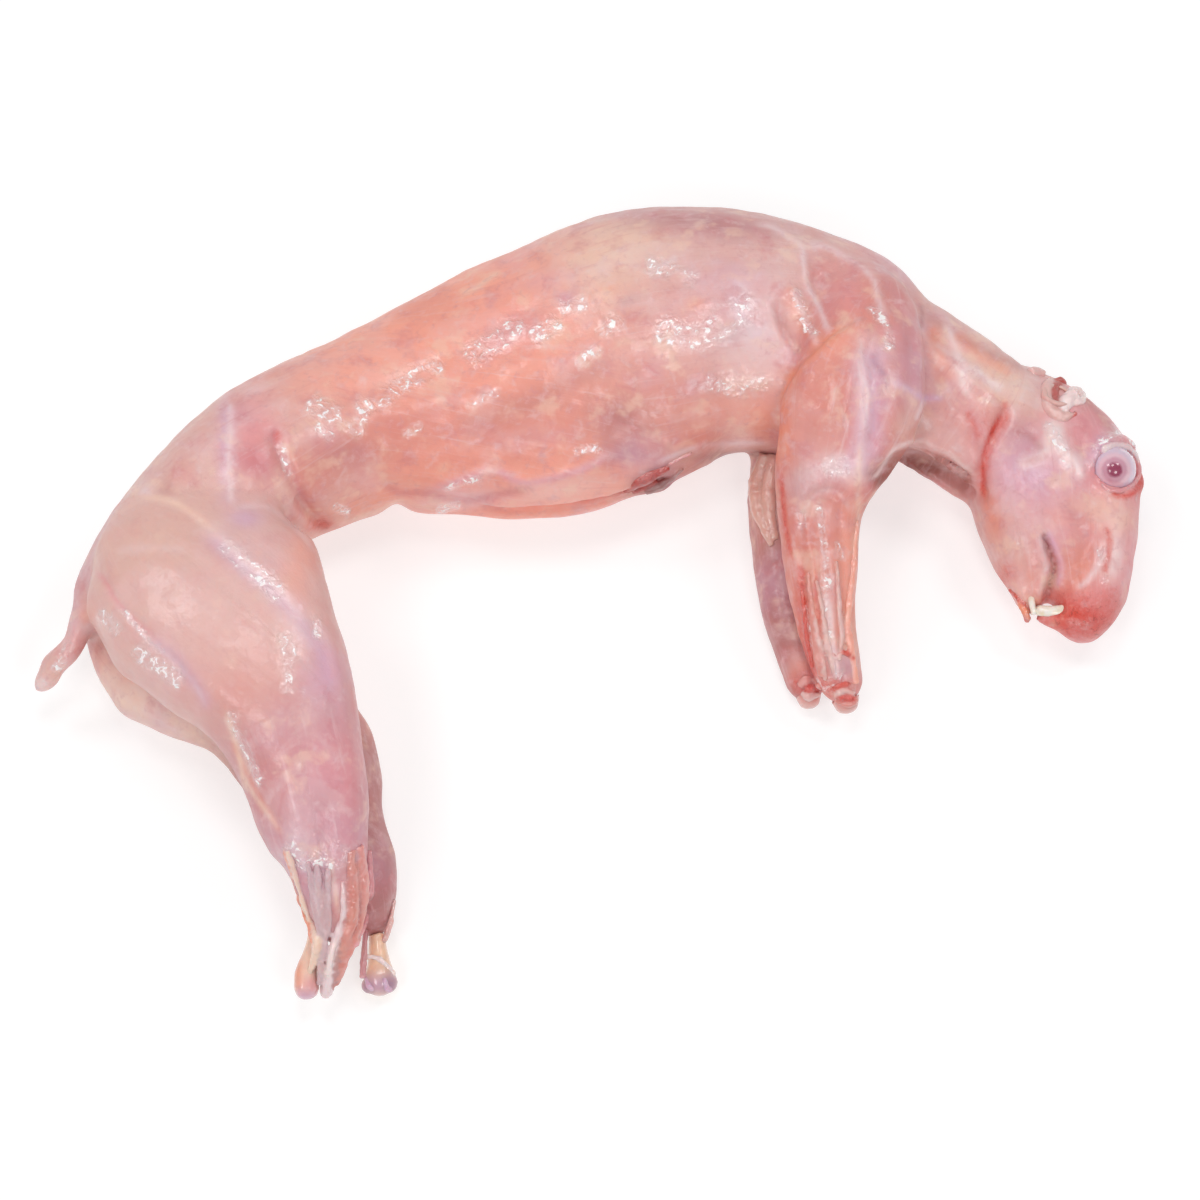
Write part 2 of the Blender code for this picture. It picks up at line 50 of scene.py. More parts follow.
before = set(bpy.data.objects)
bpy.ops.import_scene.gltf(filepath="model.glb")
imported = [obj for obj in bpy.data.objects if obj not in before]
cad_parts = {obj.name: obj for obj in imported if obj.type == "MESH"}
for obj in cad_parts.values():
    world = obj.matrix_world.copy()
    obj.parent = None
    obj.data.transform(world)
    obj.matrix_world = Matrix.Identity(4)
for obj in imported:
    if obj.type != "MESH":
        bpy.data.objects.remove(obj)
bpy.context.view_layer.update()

MM = 0.001

# The photograph: its side in pixels, its scale, the camera's slope over the ground, the way
# from the near eye to the middle of the picture in mm, and the camera's sensor in mm.
PHOTO_SIDE = 1200
PIXELS_PER_MM = 3.0
SIGHT = math.radians(66)
EYE_TO_MIDDLE = (-173.0, -46.38, -4.0)
SENSOR = 36.0

# Soft ranges, from none to all: how squarely a point faces the camera, how far along a line it
# lies, what random height a sparkling cluster has, how high a strand stands over the flesh in
# mm, and how far inside an ear's cup a point lies in mm.
SEEN = (-0.12, 0.12)
LINE_END = (-0.02, 0.12)
CLUSTER = (-0.55, -0.1)
STRAND_FADE = (-0.1, 0.75)
EAR_CUP = (-1.5, 1.5)

# How far the ragged edges of patches, streaks and sparkles wander, and how fast a patch fades.
PATCH_WANDER = 0.35
STREAK_WANDER = 0.4
SPARKLE_WANDER = 0.5
PATCH_FADE = 0.8

# Layers of random lumps: height and wavelength in mm, and seed.
FLESH_LUMPS = ((0.5, 22, 3.1), (0.28, 9, 11.7), (0.13, 4.5, 5.3))
BONE_LUMPS = ((0.15, 5, 4.4), (0.06, 2, 1.9))
STRAND_LUMPS = ((0.45, 4, 4.4), (0.2, 1.8, 1.9))
EAR_LUMPS = ((0.35, 5, 7.4), (0.12, 2, 1.9))
# The same with heights that are shares: the folds of wrinkled film, the clusters of sparkles,
# and the ragged edges.
CRUMPLES = ((1.0, 3.4, 6.1),)
CLUSTERS = ((1.0, 8, 9.1),)
RAGS = ((1.0, 7, 2.2), (0.6, 3, 8.8))

# Smoothing: rounds, the share of each, and the rounds that spread the bulk that is given back.
FLESH_RELAX = (60, 0.5, 30)
SETTLE_RELAX = (1, 0.25, 0)
BONE_RELAX = (6, 0.5, 20)
STRAND_RELAX = (6, 0.5, 4)
EAR_RELAX = (5, 0.5, 20)
# How much less the head and the thin limbs are smoothed.
HEAD_FIRMNESS = 0.38
LIMB_FIRMNESS = 0.25

# Face size and growth in mm of pieces that are melted, the face size of strands in mm, and the
# gap in metres that loose triangles are merged across.
BONE_MELT = (0.6, 0.1)
EAR_MELT = (0.55, 0.15)
STRAND_VOXEL = 0.45
LOOSE_GAP = 1e-6
# Faces whose normal points down further than this lie on the underside.
UNDERSIDE = -0.45

# Length and width in mm of the fibres in muscle and in strands, what sets one sub-part's
# fibres apart from the next one's, and the scale and height in mm of the bundles they form.
MUSCLE_FIBRE = (30, 1.6)
STRAND_FIBRE = (20, 1.1)
FIBRE_STEP = 3.7
BUNDLE_SCALE = (2.0, 0.45, 1.0)
BUNDLE_HEIGHT = 0.3

# Rounds in which tones, sheets, bundles and the edges of sub-parts melt into each other.
GROUND_MELT = 600
SHEET_MELT = 16
BUNDLE_MELT = 2
EDGE_MELT = 3

# Strands: how deep they sink as a share of their half width, how near the flesh has to be to
# tint them in mm, how many samples of the paths may cover a point, and their shares of sheet
# and of blood.
STRAND_SINK = -0.3
STRAND_REACH = 3.0
STRAND_SAMPLES = 12
STRAND_SHEET = 0.3
STRAND_BLOOD = 0.6
BLOODY = ("blood", "gore")

# How far the upper incisors stand out over their solids, in mm.
UPPER_TOOTH_SWELL = 0.9
# The eyeballs' faces around and from pole to pole, the angle from the gaze in degrees within
# which the cornea stands out in full, and how far the gaze turns to the nose.
EYE_FACES = (56, 36)
CORNEA_TOP = 8
GAZE_ASIDE = 0.12

# Soft boxes: tilt from the line of sight and turn in the picture, in degrees, and distance.
SOFT_BOXES = ((30, 95), (52, 132), (50, 52), (24, 200), (22, 320))
BOX_DISTANCE = 1.2

# Words in the names of the CAD nodes that aren't muscle.
BARE_WORDS = {"eye", "ear", "incisor", "bone", "tendon"}
FLESH_NODES = sorted(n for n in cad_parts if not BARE_WORDS & set(n.split("_")))

# The sub-parts that a patch, a line or a fold may touch.
HIND_NEAR = ("pelvis", "thigh_right", "shank_right", "loin")
HIND_FAR = ("thigh_left", "shank_left")
TAIL = ("tail", "pelvis")
TRUNK = ("pelvis", "loin", "chest")
FORE_NEAR = ("upper_arm_right", "forearm_right", "chest", "neck")
ARM_NEAR = ("upper_arm_right", "forearm_right")
ARM_FAR = ("upper_arm_left", "forearm_left")
NECK = ("neck", "chest", "upper_arm_right")
HEAD = ("head", "lower_jaw", "neck")
# The sub-parts that keep more of their form.
SKULL = ("head", "lower_jaw")
THIN = ("forearm_right", "forearm_left", "shank_left", "shank_right", "tail")

# The tone that each sub-part has before anything is painted on it.
GROUND_TONE = {
    "pelvis": "pale", "loin": "peach", "chest": "pale", "neck": "pale", "head": "rose",
    "lower_jaw": "pale", "tail": "pale", "thigh_right": "pale", "shank_right": "mauve",
    "thigh_left": "beige", "shank_left": "plum", "upper_arm_right": "salmon",
    "forearm_right": "salmon", "upper_arm_left": "mauve", "forearm_left": "plum",
}

# Lines that are both painted and folded, in the photograph's pixels.
HIP_CREASE = [(231, 399), (230, 429), (229, 459), (230, 489), (234, 507)]
GROIN_CREASE = [(234, 507), (267, 507), (280, 516), (301, 534), (315, 553)]
SEAT_CREASE = [(94, 569), (108, 585), (115, 599), (136, 622), (156, 638)]
HAM_EDGE = [(147, 640), (170, 651), (189, 674), (202, 693), (209, 713)]
HAUNCH_EDGE = [(129, 498), (159, 498), (179, 505), (198, 518), (221, 539), (244, 560),
               (267, 578), (285, 596), (301, 615), (315, 619)]
FLANK_CREASE = [(453, 434), (497, 415), (540, 399), (584, 373), (620, 356)]
FLAP_CREASE = [(375, 482), (401, 493), (427, 493), (449, 499), (471, 501), (488, 497),
               (536, 488)]
SLIT_EDGE = [(663, 440), (675, 448), (688, 442), (702, 450)]
BLADE_EDGE = [(751, 223), (772, 227), (788, 237), (801, 245), (803, 256), (807, 284),
              (816, 301), (827, 327), (831, 338)]
SHOULDER_EDGE = [(801, 245), (827, 247), (844, 256), (861, 267), (874, 280), (877, 295),
                 (887, 319)]
ELBOW_CREASE = [(801, 545), (803, 515), (816, 494), (838, 492), (852, 515)]

# Soft patches of colour: sub-parts, tone, strength, middle, half sizes, and turn in degrees
# where there is one.
PATCHES = [
    # Haunch and rump
    (HIND_NEAR, "beige", 0.7, (150, 545), (70, 40), -35),
    (HIND_NEAR, "rose", 0.85, (255, 435), (24, 42)),
    (HIND_NEAR, "deep_rose", 0.9, (257, 462), (20, 13)),
    (HIND_NEAR, "blood", 0.5, (277, 436), (3, 5)),
    (HIND_NEAR, "salmon", 0.6, (300, 470), (12, 34), -20),
    (HIND_NEAR, "lilac", 0.6, (225, 440), (6, 40)),
    (HIND_NEAR, "lilac", 0.7, (245, 518), (16, 9)),
    (HIND_NEAR, "bruise", 0.5, (166, 489), (9, 8)),
    (HIND_NEAR, "film", 0.4, (144, 490), (12, 9)),
    (HIND_NEAR, "film", 0.5, (257, 389), (14, 5), -15),
    (HIND_NEAR, "salmon", 0.45, (237, 692), (36, 34), -20),
    (HIND_NEAR, "lilac", 0.55, (325, 675), (24, 30)),
    (HIND_NEAR, "peach", 0.5, (300, 560), (16, 40), 15),
    (HIND_NEAR, "orange", 0.6, (83, 618), (9, 16)),
    (HIND_NEAR, "lilac", 0.3, (322, 790), (30, 60), 5),
    (HIND_NEAR, "salmon", 0.35, (270, 790), (26, 50), 12),
    (HIND_NEAR, "rose", 0.5, (322, 765), (26, 30), 10),
    (HIND_NEAR, "bruise", 0.35, (325, 800), (14, 12)),
    (HIND_NEAR, "film", 0.6, (297, 850), (13, 22), 5),
    (HIND_NEAR, "rose", 0.5, (352, 780), (14, 55), 5),
    (HIND_NEAR, "salmon", 0.7, (352, 900), (17, 40)),
    (HIND_NEAR, "grey", 0.6, (323, 893), (10, 36)),
    (TAIL, "rose", 0.5, (66, 650), (16, 26)),
    (TAIL, "white", 0.6, (40, 685), (8, 7)),
    (HIND_FAR, "cream", 0.6, (140, 702), (52, 22), 25),
    (HIND_FAR, "orange", 0.5, (90, 668), (9, 12)),
    # A white wash over the far thigh: painted light where it lies in shade.
    (HIND_FAR, "white", 0.3, (135, 698), (60, 24), 25),
    # Loin and belly
    (TRUNK, "peach", 0.6, (340, 365), (70, 32), -22),
    (TRUNK, "salmon", 0.75, (400, 428), (75, 30), -8),
    (TRUNK, "salmon", 0.55, (530, 420), (80, 40), -18),
    (TRUNK, "rose", 0.5, (462, 500), (36, 9)),
    # Lighter paint along the belly's low edge: painted light against the shade that falls there.
    (TRUNK, "white", 0.35, (560, 490), (50, 12), -10),
    (TRUNK, "film", 0.5, (455, 500), (40, 9), -4),
    (TRUNK, "rose", 0.4, (520, 325), (48, 22), -20),
    (TRUNK, "lilac", 0.2, (505, 338), (28, 12), -25),
    (TRUNK, "cream", 0.7, (605, 262), (46, 30), -20),
    (TRUNK, "cream", 0.5, (640, 232), (36, 14)),
    (TRUNK, "muscle", 0.45, (340, 460), (34, 20), -10),
    (TRUNK, "muscle", 0.4, (400, 440), (40, 16), -10),
    (TRUNK, "muscle", 0.4, (520, 438), (44, 22), -15),
    (TRUNK, "blood", 0.6, (322, 524), (12, 6)),
    (TRUNK, "orange", 0.6, (360, 505), (40, 12), -15),
    (TRUNK, "salmon", 0.6, (318, 480), (20, 26)),
    (TRUNK, "bruise", 0.35, (345, 452), (24, 14)),
    (TRUNK, "lilac", 0.5, (566, 298), (8, 6)),
    # Chest
    (TRUNK, "mauve", 0.75, (705, 222), (80, 14), 6),
    (TRUNK, "plum", 0.45, (702, 222), (60, 10), 6),
    (TRUNK, "rose", 0.35, (690, 320), (45, 40), -20),
    (TRUNK, "grey", 0.55, (629, 301), (14, 6), -20),
    (TRUNK, "orange", 0.4, (604, 291), (12, 7), -20),
    (TRUNK, "orange", 0.35, (696, 303), (10, 7)),
    (TRUNK, "white", 0.5, (784, 342), (12, 28), 18),
    (TRUNK, "lilac", 0.5, (750, 305), (22, 26), 20),
    (TRUNK, "grey", 0.7, (738, 336), (24, 10), -28),
    (TRUNK, "film", 0.65, (762, 325), (26, 46), 20),
    (TRUNK, "bruise", 0.75, (622, 424), (38, 34), 10),
    (TRUNK, "bruise", 0.5, (622, 416), (12, 10)),
    (TRUNK, "lilac", 0.4, (630, 455), (18, 12)),
    (TRUNK, "peach", 0.5, (725, 415), (45, 28)),
    (TRUNK, "salmon", 0.6, (672, 400), (30, 40), -20),
    (TRUNK, "mauve", 0.5, (700, 385), (26, 9), -20),
    (TRUNK, "violet", 0.4, (622, 455), (22, 9), -12),
    (TRUNK, "orange", 0.45, (764, 425), (14, 20)),
    (TRUNK, "muscle", 0.6, (684, 442), (34, 7), -14),
    # The chest's opening and the belly slit, where the far flap lies: dark tissue, partly painted
    # shade.
    (TRUNK, "throat", 0.85, (738, 457), (44, 6)),
    (TRUNK, "throat", 0.9, (668, 484), (30, 11), -25),
    (TRUNK, "gore", 0.8, (655, 474), (16, 7), -25),
    (TRUNK, "muscle", 0.7, (684, 474), (14, 8), -25),
    # Shoulder and forelimbs
    (FORE_NEAR, "deep_rose", 0.6, (822, 290), (13, 34), -14),
    (FORE_NEAR, "rose", 0.5, (850, 285), (18, 30)),
    (FORE_NEAR, "mauve", 0.6, (916, 385), (26, 50), 6),
    (FORE_NEAR, "bruise", 0.4, (905, 350), (10, 26), 10),
    (FORE_NEAR, "mauve", 0.5, (897, 292), (12, 18), -40),
    (ARM_NEAR, "peach", 0.7, (836, 345), (30, 12), -38),
    (FORE_NEAR, "film", 0.5, (874, 355), (18, 20)),
    (FORE_NEAR, "lilac", 0.5, (872, 415), (11, 60), 4),
    (FORE_NEAR, "film", 0.5, (838, 470), (24, 12)),
    (ARM_NEAR, "salmon", 0.8, (824, 405), (34, 40), -40),
    (ARM_NEAR, "muscle", 0.6, (818, 432), (36, 9), -40),
    (ARM_NEAR, "orange", 0.5, (784, 440), (9, 60)),
    (ARM_NEAR, "peach", 0.5, (786, 442), (8, 26)),
    (ARM_NEAR, "orange", 0.45, (810, 580), (22, 60)),
    (ARM_NEAR, "film", 0.5, (830, 620), (6, 34), 4),
    (ARM_NEAR, "grey", 0.75, (802, 484), (22, 22)),
    (ARM_NEAR, "film", 0.75, (838, 470), (26, 16)),
    (ARM_NEAR, "mauve", 0.35, (812, 525), (22, 40)),
    (ARM_NEAR, "muscle", 0.7, (810, 562), (13, 44)),
    (ARM_NEAR, "peach", 0.5, (858, 490), (6, 36)),
    (ARM_NEAR, "peach", 0.7, (848, 570), (10, 60)),
    (ARM_NEAR, "cream", 0.5, (852, 650), (10, 30)),
    (ARM_NEAR, "lilac", 0.7, (844, 668), (11, 13)),
    (ARM_NEAR, "bruise", 0.5, (846, 668), (6, 8)),
    (ARM_NEAR, "blood", 0.75, (818, 688), (26, 9)),
    (ARM_NEAR, "blood", 0.35, (805, 630), (8, 50)),
    (ARM_FAR, "beige", 0.6, (766, 508), (14, 38)),
    (ARM_FAR, "orange", 0.6, (803, 668), (14, 18)),
    (ARM_FAR, "blood", 0.7, (814, 688), (18, 12)),
    # Neck and throat
    (NECK, "lilac", 0.3, (925, 350), (14, 30), -10),
    (NECK, "cream", 0.6, (985, 372), (26, 12), 30),
    (NECK, "white", 0.45, (972, 386), (28, 14), 30),
    (NECK, "orange", 0.5, (938, 348), (11, 26), -12),
    (NECK, "beige", 0.6, (916, 425), (26, 18)),
    (NECK, "blood", 0.22, (980, 428), (10, 20), 10),
    (NECK, "rose", 0.5, (975, 440), (12, 18), 10),
    (NECK, "orange", 0.35, (985, 400), (14, 12), 30),
    (NECK, "film", 0.5, (955, 360), (20, 26), -30),
    (NECK, "cream", 0.7, (1015, 385), (34, 20), 20),
    (NECK, "white", 0.35, (1008, 388), (20, 10), 20),
    (NECK, "rose", 0.4, (962, 410), (26, 30)),
    (NECK, "salmon", 0.5, (972, 425), (14, 26), 10),
    (HEAD, "blood", 0.35, (992, 440), (6, 36), 18),
    (HEAD, "orange", 0.5, (986, 500), (6, 26), -8),
    # Head
    (HEAD, "mauve", 0.6, (1020, 440), (22, 20), -20),
    (HEAD, "lilac", 0.75, (1026, 476), (34, 30)),
    (HEAD, "rose", 0.4, (1036, 505), (26, 20)),
    (HEAD, "rose", 0.6, (1084, 430), (22, 22), -20),
    (HEAD, "mauve", 0.35, (1088, 425), (16, 16), -20),
    (HEAD, "bruise", 0.35, (1078, 452), (12, 9)),
    (HEAD, "white", 0.55, (1062, 452), (11, 26), -20),
    (HEAD, "cream", 0.6, (1090, 508), (28, 14), -10),
    (HEAD, "salmon", 0.9, (1078, 562), (20, 34), 10),
    (HEAD, "muscle", 0.5, (1080, 566), (12, 22), 10),
    (HEAD, "orange", 0.3, (1078, 570), (16, 26), 10),
    (HEAD, "peach", 0.5, (1062, 525), (22, 14)),
    # The nose's whitish strip, lightened further: partly painted light against the shade there.
    (HEAD, "white", 0.95, (1113, 556), (10, 30), 4),
    (HEAD, "cream", 0.5, (1120, 520), (14, 14)),
    (HEAD, "blood", 0.5, (1112, 604), (12, 18)),
    (HEAD, "blood", 0.95, (1082, 619), (36, 19), 8),
    (HEAD, "blood", 0.6, (1142, 484), (7, 16)),
    (HEAD, "lilac", 0.8, (1100, 448), (15, 10), -40),
    (HEAD, "beige", 0.5, (1014, 540), (18, 34), -15),
    (HEAD, "orange", 0.45, (994, 520), (7, 30), -12),
    (HEAD, "salmon", 0.4, (1030, 560), (9, 26), -8),
    (HEAD, "peach", 0.5, (1024, 585), (16, 20)),
    (HEAD, "blood", 0.35, (1005, 575), (8, 12)),
    (HEAD, "blood", 0.4, (1030, 612), (10, 10)),
    (HEAD, "pale", 0.5, (1045, 385), (26, 20), 20),
]

# Lines of colour: sub-parts, tone, strength, half width in mm, points.
STREAKS = [
    # Haunch and rump
    (HIND_NEAR, "lilac", 0.25, 3.6, [(229, 399), (228, 440), (228, 489), (234, 512)]),
    (HIND_NEAR, "white", 0.55, 1.3, HIP_CREASE),
    (HIND_NEAR, "cream", 0.5, 1.3, HAUNCH_EDGE),
    (HIND_NEAR, "lilac", 0.6, 3.0, [(200, 528), (223, 549), (246, 570), (268, 588), (287, 606),
                                    (305, 628), (322, 655), (333, 690)]),
    (HIND_NEAR, "film", 0.35, 1.0, GROIN_CREASE),
    (HIND_NEAR, "film", 0.25, 1.5, [(113, 553), (138, 548), (189, 550)]),
    (HIND_NEAR, "rose", 0.6, 0.9, SEAT_CREASE),
    (HIND_NEAR, "film", 0.5, 0.8, [(122, 612), (150, 641), (174, 660), (194, 684), (207, 706)]),
    (HIND_NEAR, "lilac", 0.4, 2.4, HAM_EDGE),
    (HIND_NEAR, "film", 0.3, 4.0, [(205, 520), (250, 570), (300, 630), (320, 660)]),
    (HIND_NEAR, "orange", 0.35, 1.0, [(231, 735), (240, 760), (262, 800), (285, 840)]),
    (HIND_NEAR, "cream", 0.6, 1.0, [(224, 707), (238, 750), (246, 782), (283, 835)]),
    (HIND_NEAR, "film", 0.7, 0.9, [(300, 850), (310, 880), (318, 910), (320, 935)]),
    (HIND_NEAR, "cream", 0.7, 0.9, [(330, 855), (335, 890), (339, 915)]),
    (HIND_FAR, "orange", 0.6, 2.5, [(255, 795), (268, 822), (281, 846)]),
    # Loin and belly
    (TRUNK, "cream", 0.5, 1.0, [(462, 295), (475, 289), (492, 276), (503, 271)]),
    (TRUNK, "plum", 0.35, 5.0, FLANK_CREASE),
    (TRUNK, "deep_rose", 0.45, 1.6, FLAP_CREASE),
    (TRUNK, "lilac", 0.45, 1.4, [(436, 488), (471, 477), (497, 471), (514, 480), (536, 482),
                                 (584, 469), (610, 454)]),
    (TRUNK, "cream", 0.35, 1.2, [(330, 520), (352, 521), (384, 508), (401, 500), (419, 506)]),
    (HIND_NEAR, "deep_rose", 0.7, 1.4, [(273, 424), (278, 447), (290, 472), (304, 500)]),
    # Chest
    (TRUNK, "film", 0.5, 0.9, [(646, 275), (661, 265), (679, 256)]),
    (TRUNK, "film", 0.6, 0.8, [(731, 278), (757, 297), (774, 314), (778, 323)]),
    (TRUNK, "plum", 0.7, 1.4, [(778, 308), (785, 327), (796, 347), (803, 362)]),
    (FORE_NEAR, "orange", 0.5, 3.0, [(786, 284), (797, 310), (806, 332), (816, 349)]),
    (FORE_NEAR, "film", 0.6, 1.0, [(794, 288), (802, 310), (811, 332), (820, 349)]),
    (TRUNK, "cream", 0.3, 1.2, SLIT_EDGE),
    (TRUNK, "film", 0.7, 0.9, [(655, 463), (675, 455), (700, 446), (735, 443), (772, 443)]),
    # Shoulder and forelimbs
    (FORE_NEAR, "film", 0.7, 1.0, BLADE_EDGE),
    (FORE_NEAR, "film", 0.65, 1.2, SHOULDER_EDGE),
    (ARM_NEAR, "orange", 0.7, 1.5, [(855, 319), (833, 336), (805, 360), (788, 382), (781, 397),
                                    (777, 414), (778, 436), (775, 460), (773, 484), (778, 510)]),
    (FORE_NEAR, "film", 0.8, 0.8, [(926, 397), (921, 408), (916, 421)]),
    (FORE_NEAR, "lilac", 0.8, 1.2, [(886, 380), (905, 388), (924, 398), (946, 397)]),
    (ARM_NEAR, "lilac", 0.6, 5.5, [(862, 345), (868, 380), (868, 415), (862, 450), (852, 480)]),
    (ARM_NEAR, "film", 0.5, 2.6, [(860, 350), (864, 380), (864, 415), (862, 450), (856, 490)]),
    (ARM_NEAR, "white", 0.4, 0.7, [(858, 332), (861, 350), (860, 372), (868, 398), (862, 430)]),
    (ARM_NEAR, "violet", 0.5, 1.3, [(872, 352), (876, 366), (886, 378), (881, 398)]),
    (ARM_NEAR, "cream", 0.5, 1.0, [(860, 440), (858, 480), (858, 520), (853, 560)]),
    (ARM_NEAR, "film", 0.3, 0.8, ELBOW_CREASE),
    (ARM_NEAR, "blood", 0.5, 0.8, [(781, 470), (783, 500), (786, 530), (792, 560)]),
    (ARM_NEAR, "blood", 0.6, 1.6, [(800, 560), (804, 610), (808, 655), (818, 690)]),
    (ARM_NEAR, "blood", 0.4, 0.7, [(815, 560), (818, 610), (822, 660), (826, 690)]),
    (ARM_NEAR, "film", 0.7, 0.9, [(825, 590), (830, 620), (833, 650), (838, 680)]),
    (ARM_NEAR, "film", 0.3, 0.6, [(792, 530), (800, 600), (808, 660)]),
    # Throat
    # The throat's trough: dark tissue with painted shade along its groove.
    (NECK, "throat", 0.9, 4.2, [(868, 488), (886, 474), (908, 464), (932, 470), (952, 478),
                                (974, 492)]),
    (NECK, "white", 0.75, 0.8, [(862, 481), (875, 476), (886, 461), (894, 450), (909, 443),
                                (923, 441), (933, 448), (947, 453), (962, 465), (977, 477)]),
    (NECK, "mauve", 0.5, 1.2, [(900, 480), (925, 478), (950, 486)]),
    # Neck
    (NECK, "plum", 0.5, 1.8, [(922, 312), (950, 333), (985, 352), (1015, 364), (1034, 370)]),
    (NECK, "film", 0.5, 1.2, [(922, 310), (924, 332), (946, 375), (948, 397)]),
    (NECK, "cream", 0.15, 1.5, [(905, 300), (950, 335), (1000, 365), (1030, 380)]),
    (NECK, "orange", 0.5, 3.2, [(928, 325), (938, 350), (948, 385)]),
    (NECK, "white", 0.7, 1.5, [(944, 322), (955, 345), (963, 375), (966, 400)]),
    (NECK, "orange", 0.45, 2.6, [(956, 328), (970, 348), (994, 364), (1014, 374)]),
    (NECK, "white", 0.8, 1.2, [(972, 366), (988, 380), (1004, 388)]),
    (NECK, "cream", 0.7, 0.9, [(978, 398), (992, 402), (1008, 398)]),
    (NECK, "blood", 0.35, 1.1, [(966, 410), (974, 425), (980, 440)]),
    (NECK, "blood", 0.3, 1.4, [(1004, 400), (1006, 418), (1000, 430)]),
    (NECK, "plum", 0.6, 0.8, [(921, 304), (922, 316), (921, 330)]),
    (NECK, "film", 0.4, 1.2, [(930, 340), (970, 370), (1005, 395)]),
    (NECK, "deep_rose", 0.35, 1.5, [(935, 365), (965, 400), (985, 440)]),
    (HEAD, "blood", 0.8, 0.9, [(1003, 413), (990, 437), (983, 468), (984, 500)]),
    # Head
    (HEAD, "white", 0.75, 2.4, [(1053, 416), (1050, 438), (1040, 457), (1015, 467)]),
    (HEAD, "white", 0.75, 2.2, [(1054, 420), (1062, 448), (1076, 464), (1082, 482)]),
    (HEAD, "plum", 0.5, 1.6, [(1080, 394), (1096, 409), (1109, 425), (1118, 440)]),
    (HEAD, "bruise", 0.4, 1.2, [(1012, 430), (1030, 436), (1044, 452)]),
    (HEAD, "film", 0.7, 1.2, [(1101, 548), (1098, 565), (1086, 582), (1076, 588)]),
    (HEAD, "blood", 0.5, 0.9, [(1106, 525), (1110, 545), (1104, 575)]),
    (HEAD, "rose", 0.6, 0.9, [(1119, 441), (1129, 448), (1136, 460), (1139, 469)]),
    (HEAD, "film", 0.6, 1.2, [(1039, 532), (1044, 552), (1047, 568), (1043, 584), (1039, 600)]),
    (HEAD, "lilac", 0.6, 1.2, [(1046, 528), (1056, 550), (1061, 568), (1056, 590)]),
    (HEAD, "gore", 0.95, 0.85, [(1042, 530), (1050, 552), (1054, 568), (1050, 584), (1046, 603)]),
    (HEAD, "blood", 0.6, 0.8, [(1111, 493), (1126, 496), (1141, 488)]),
]

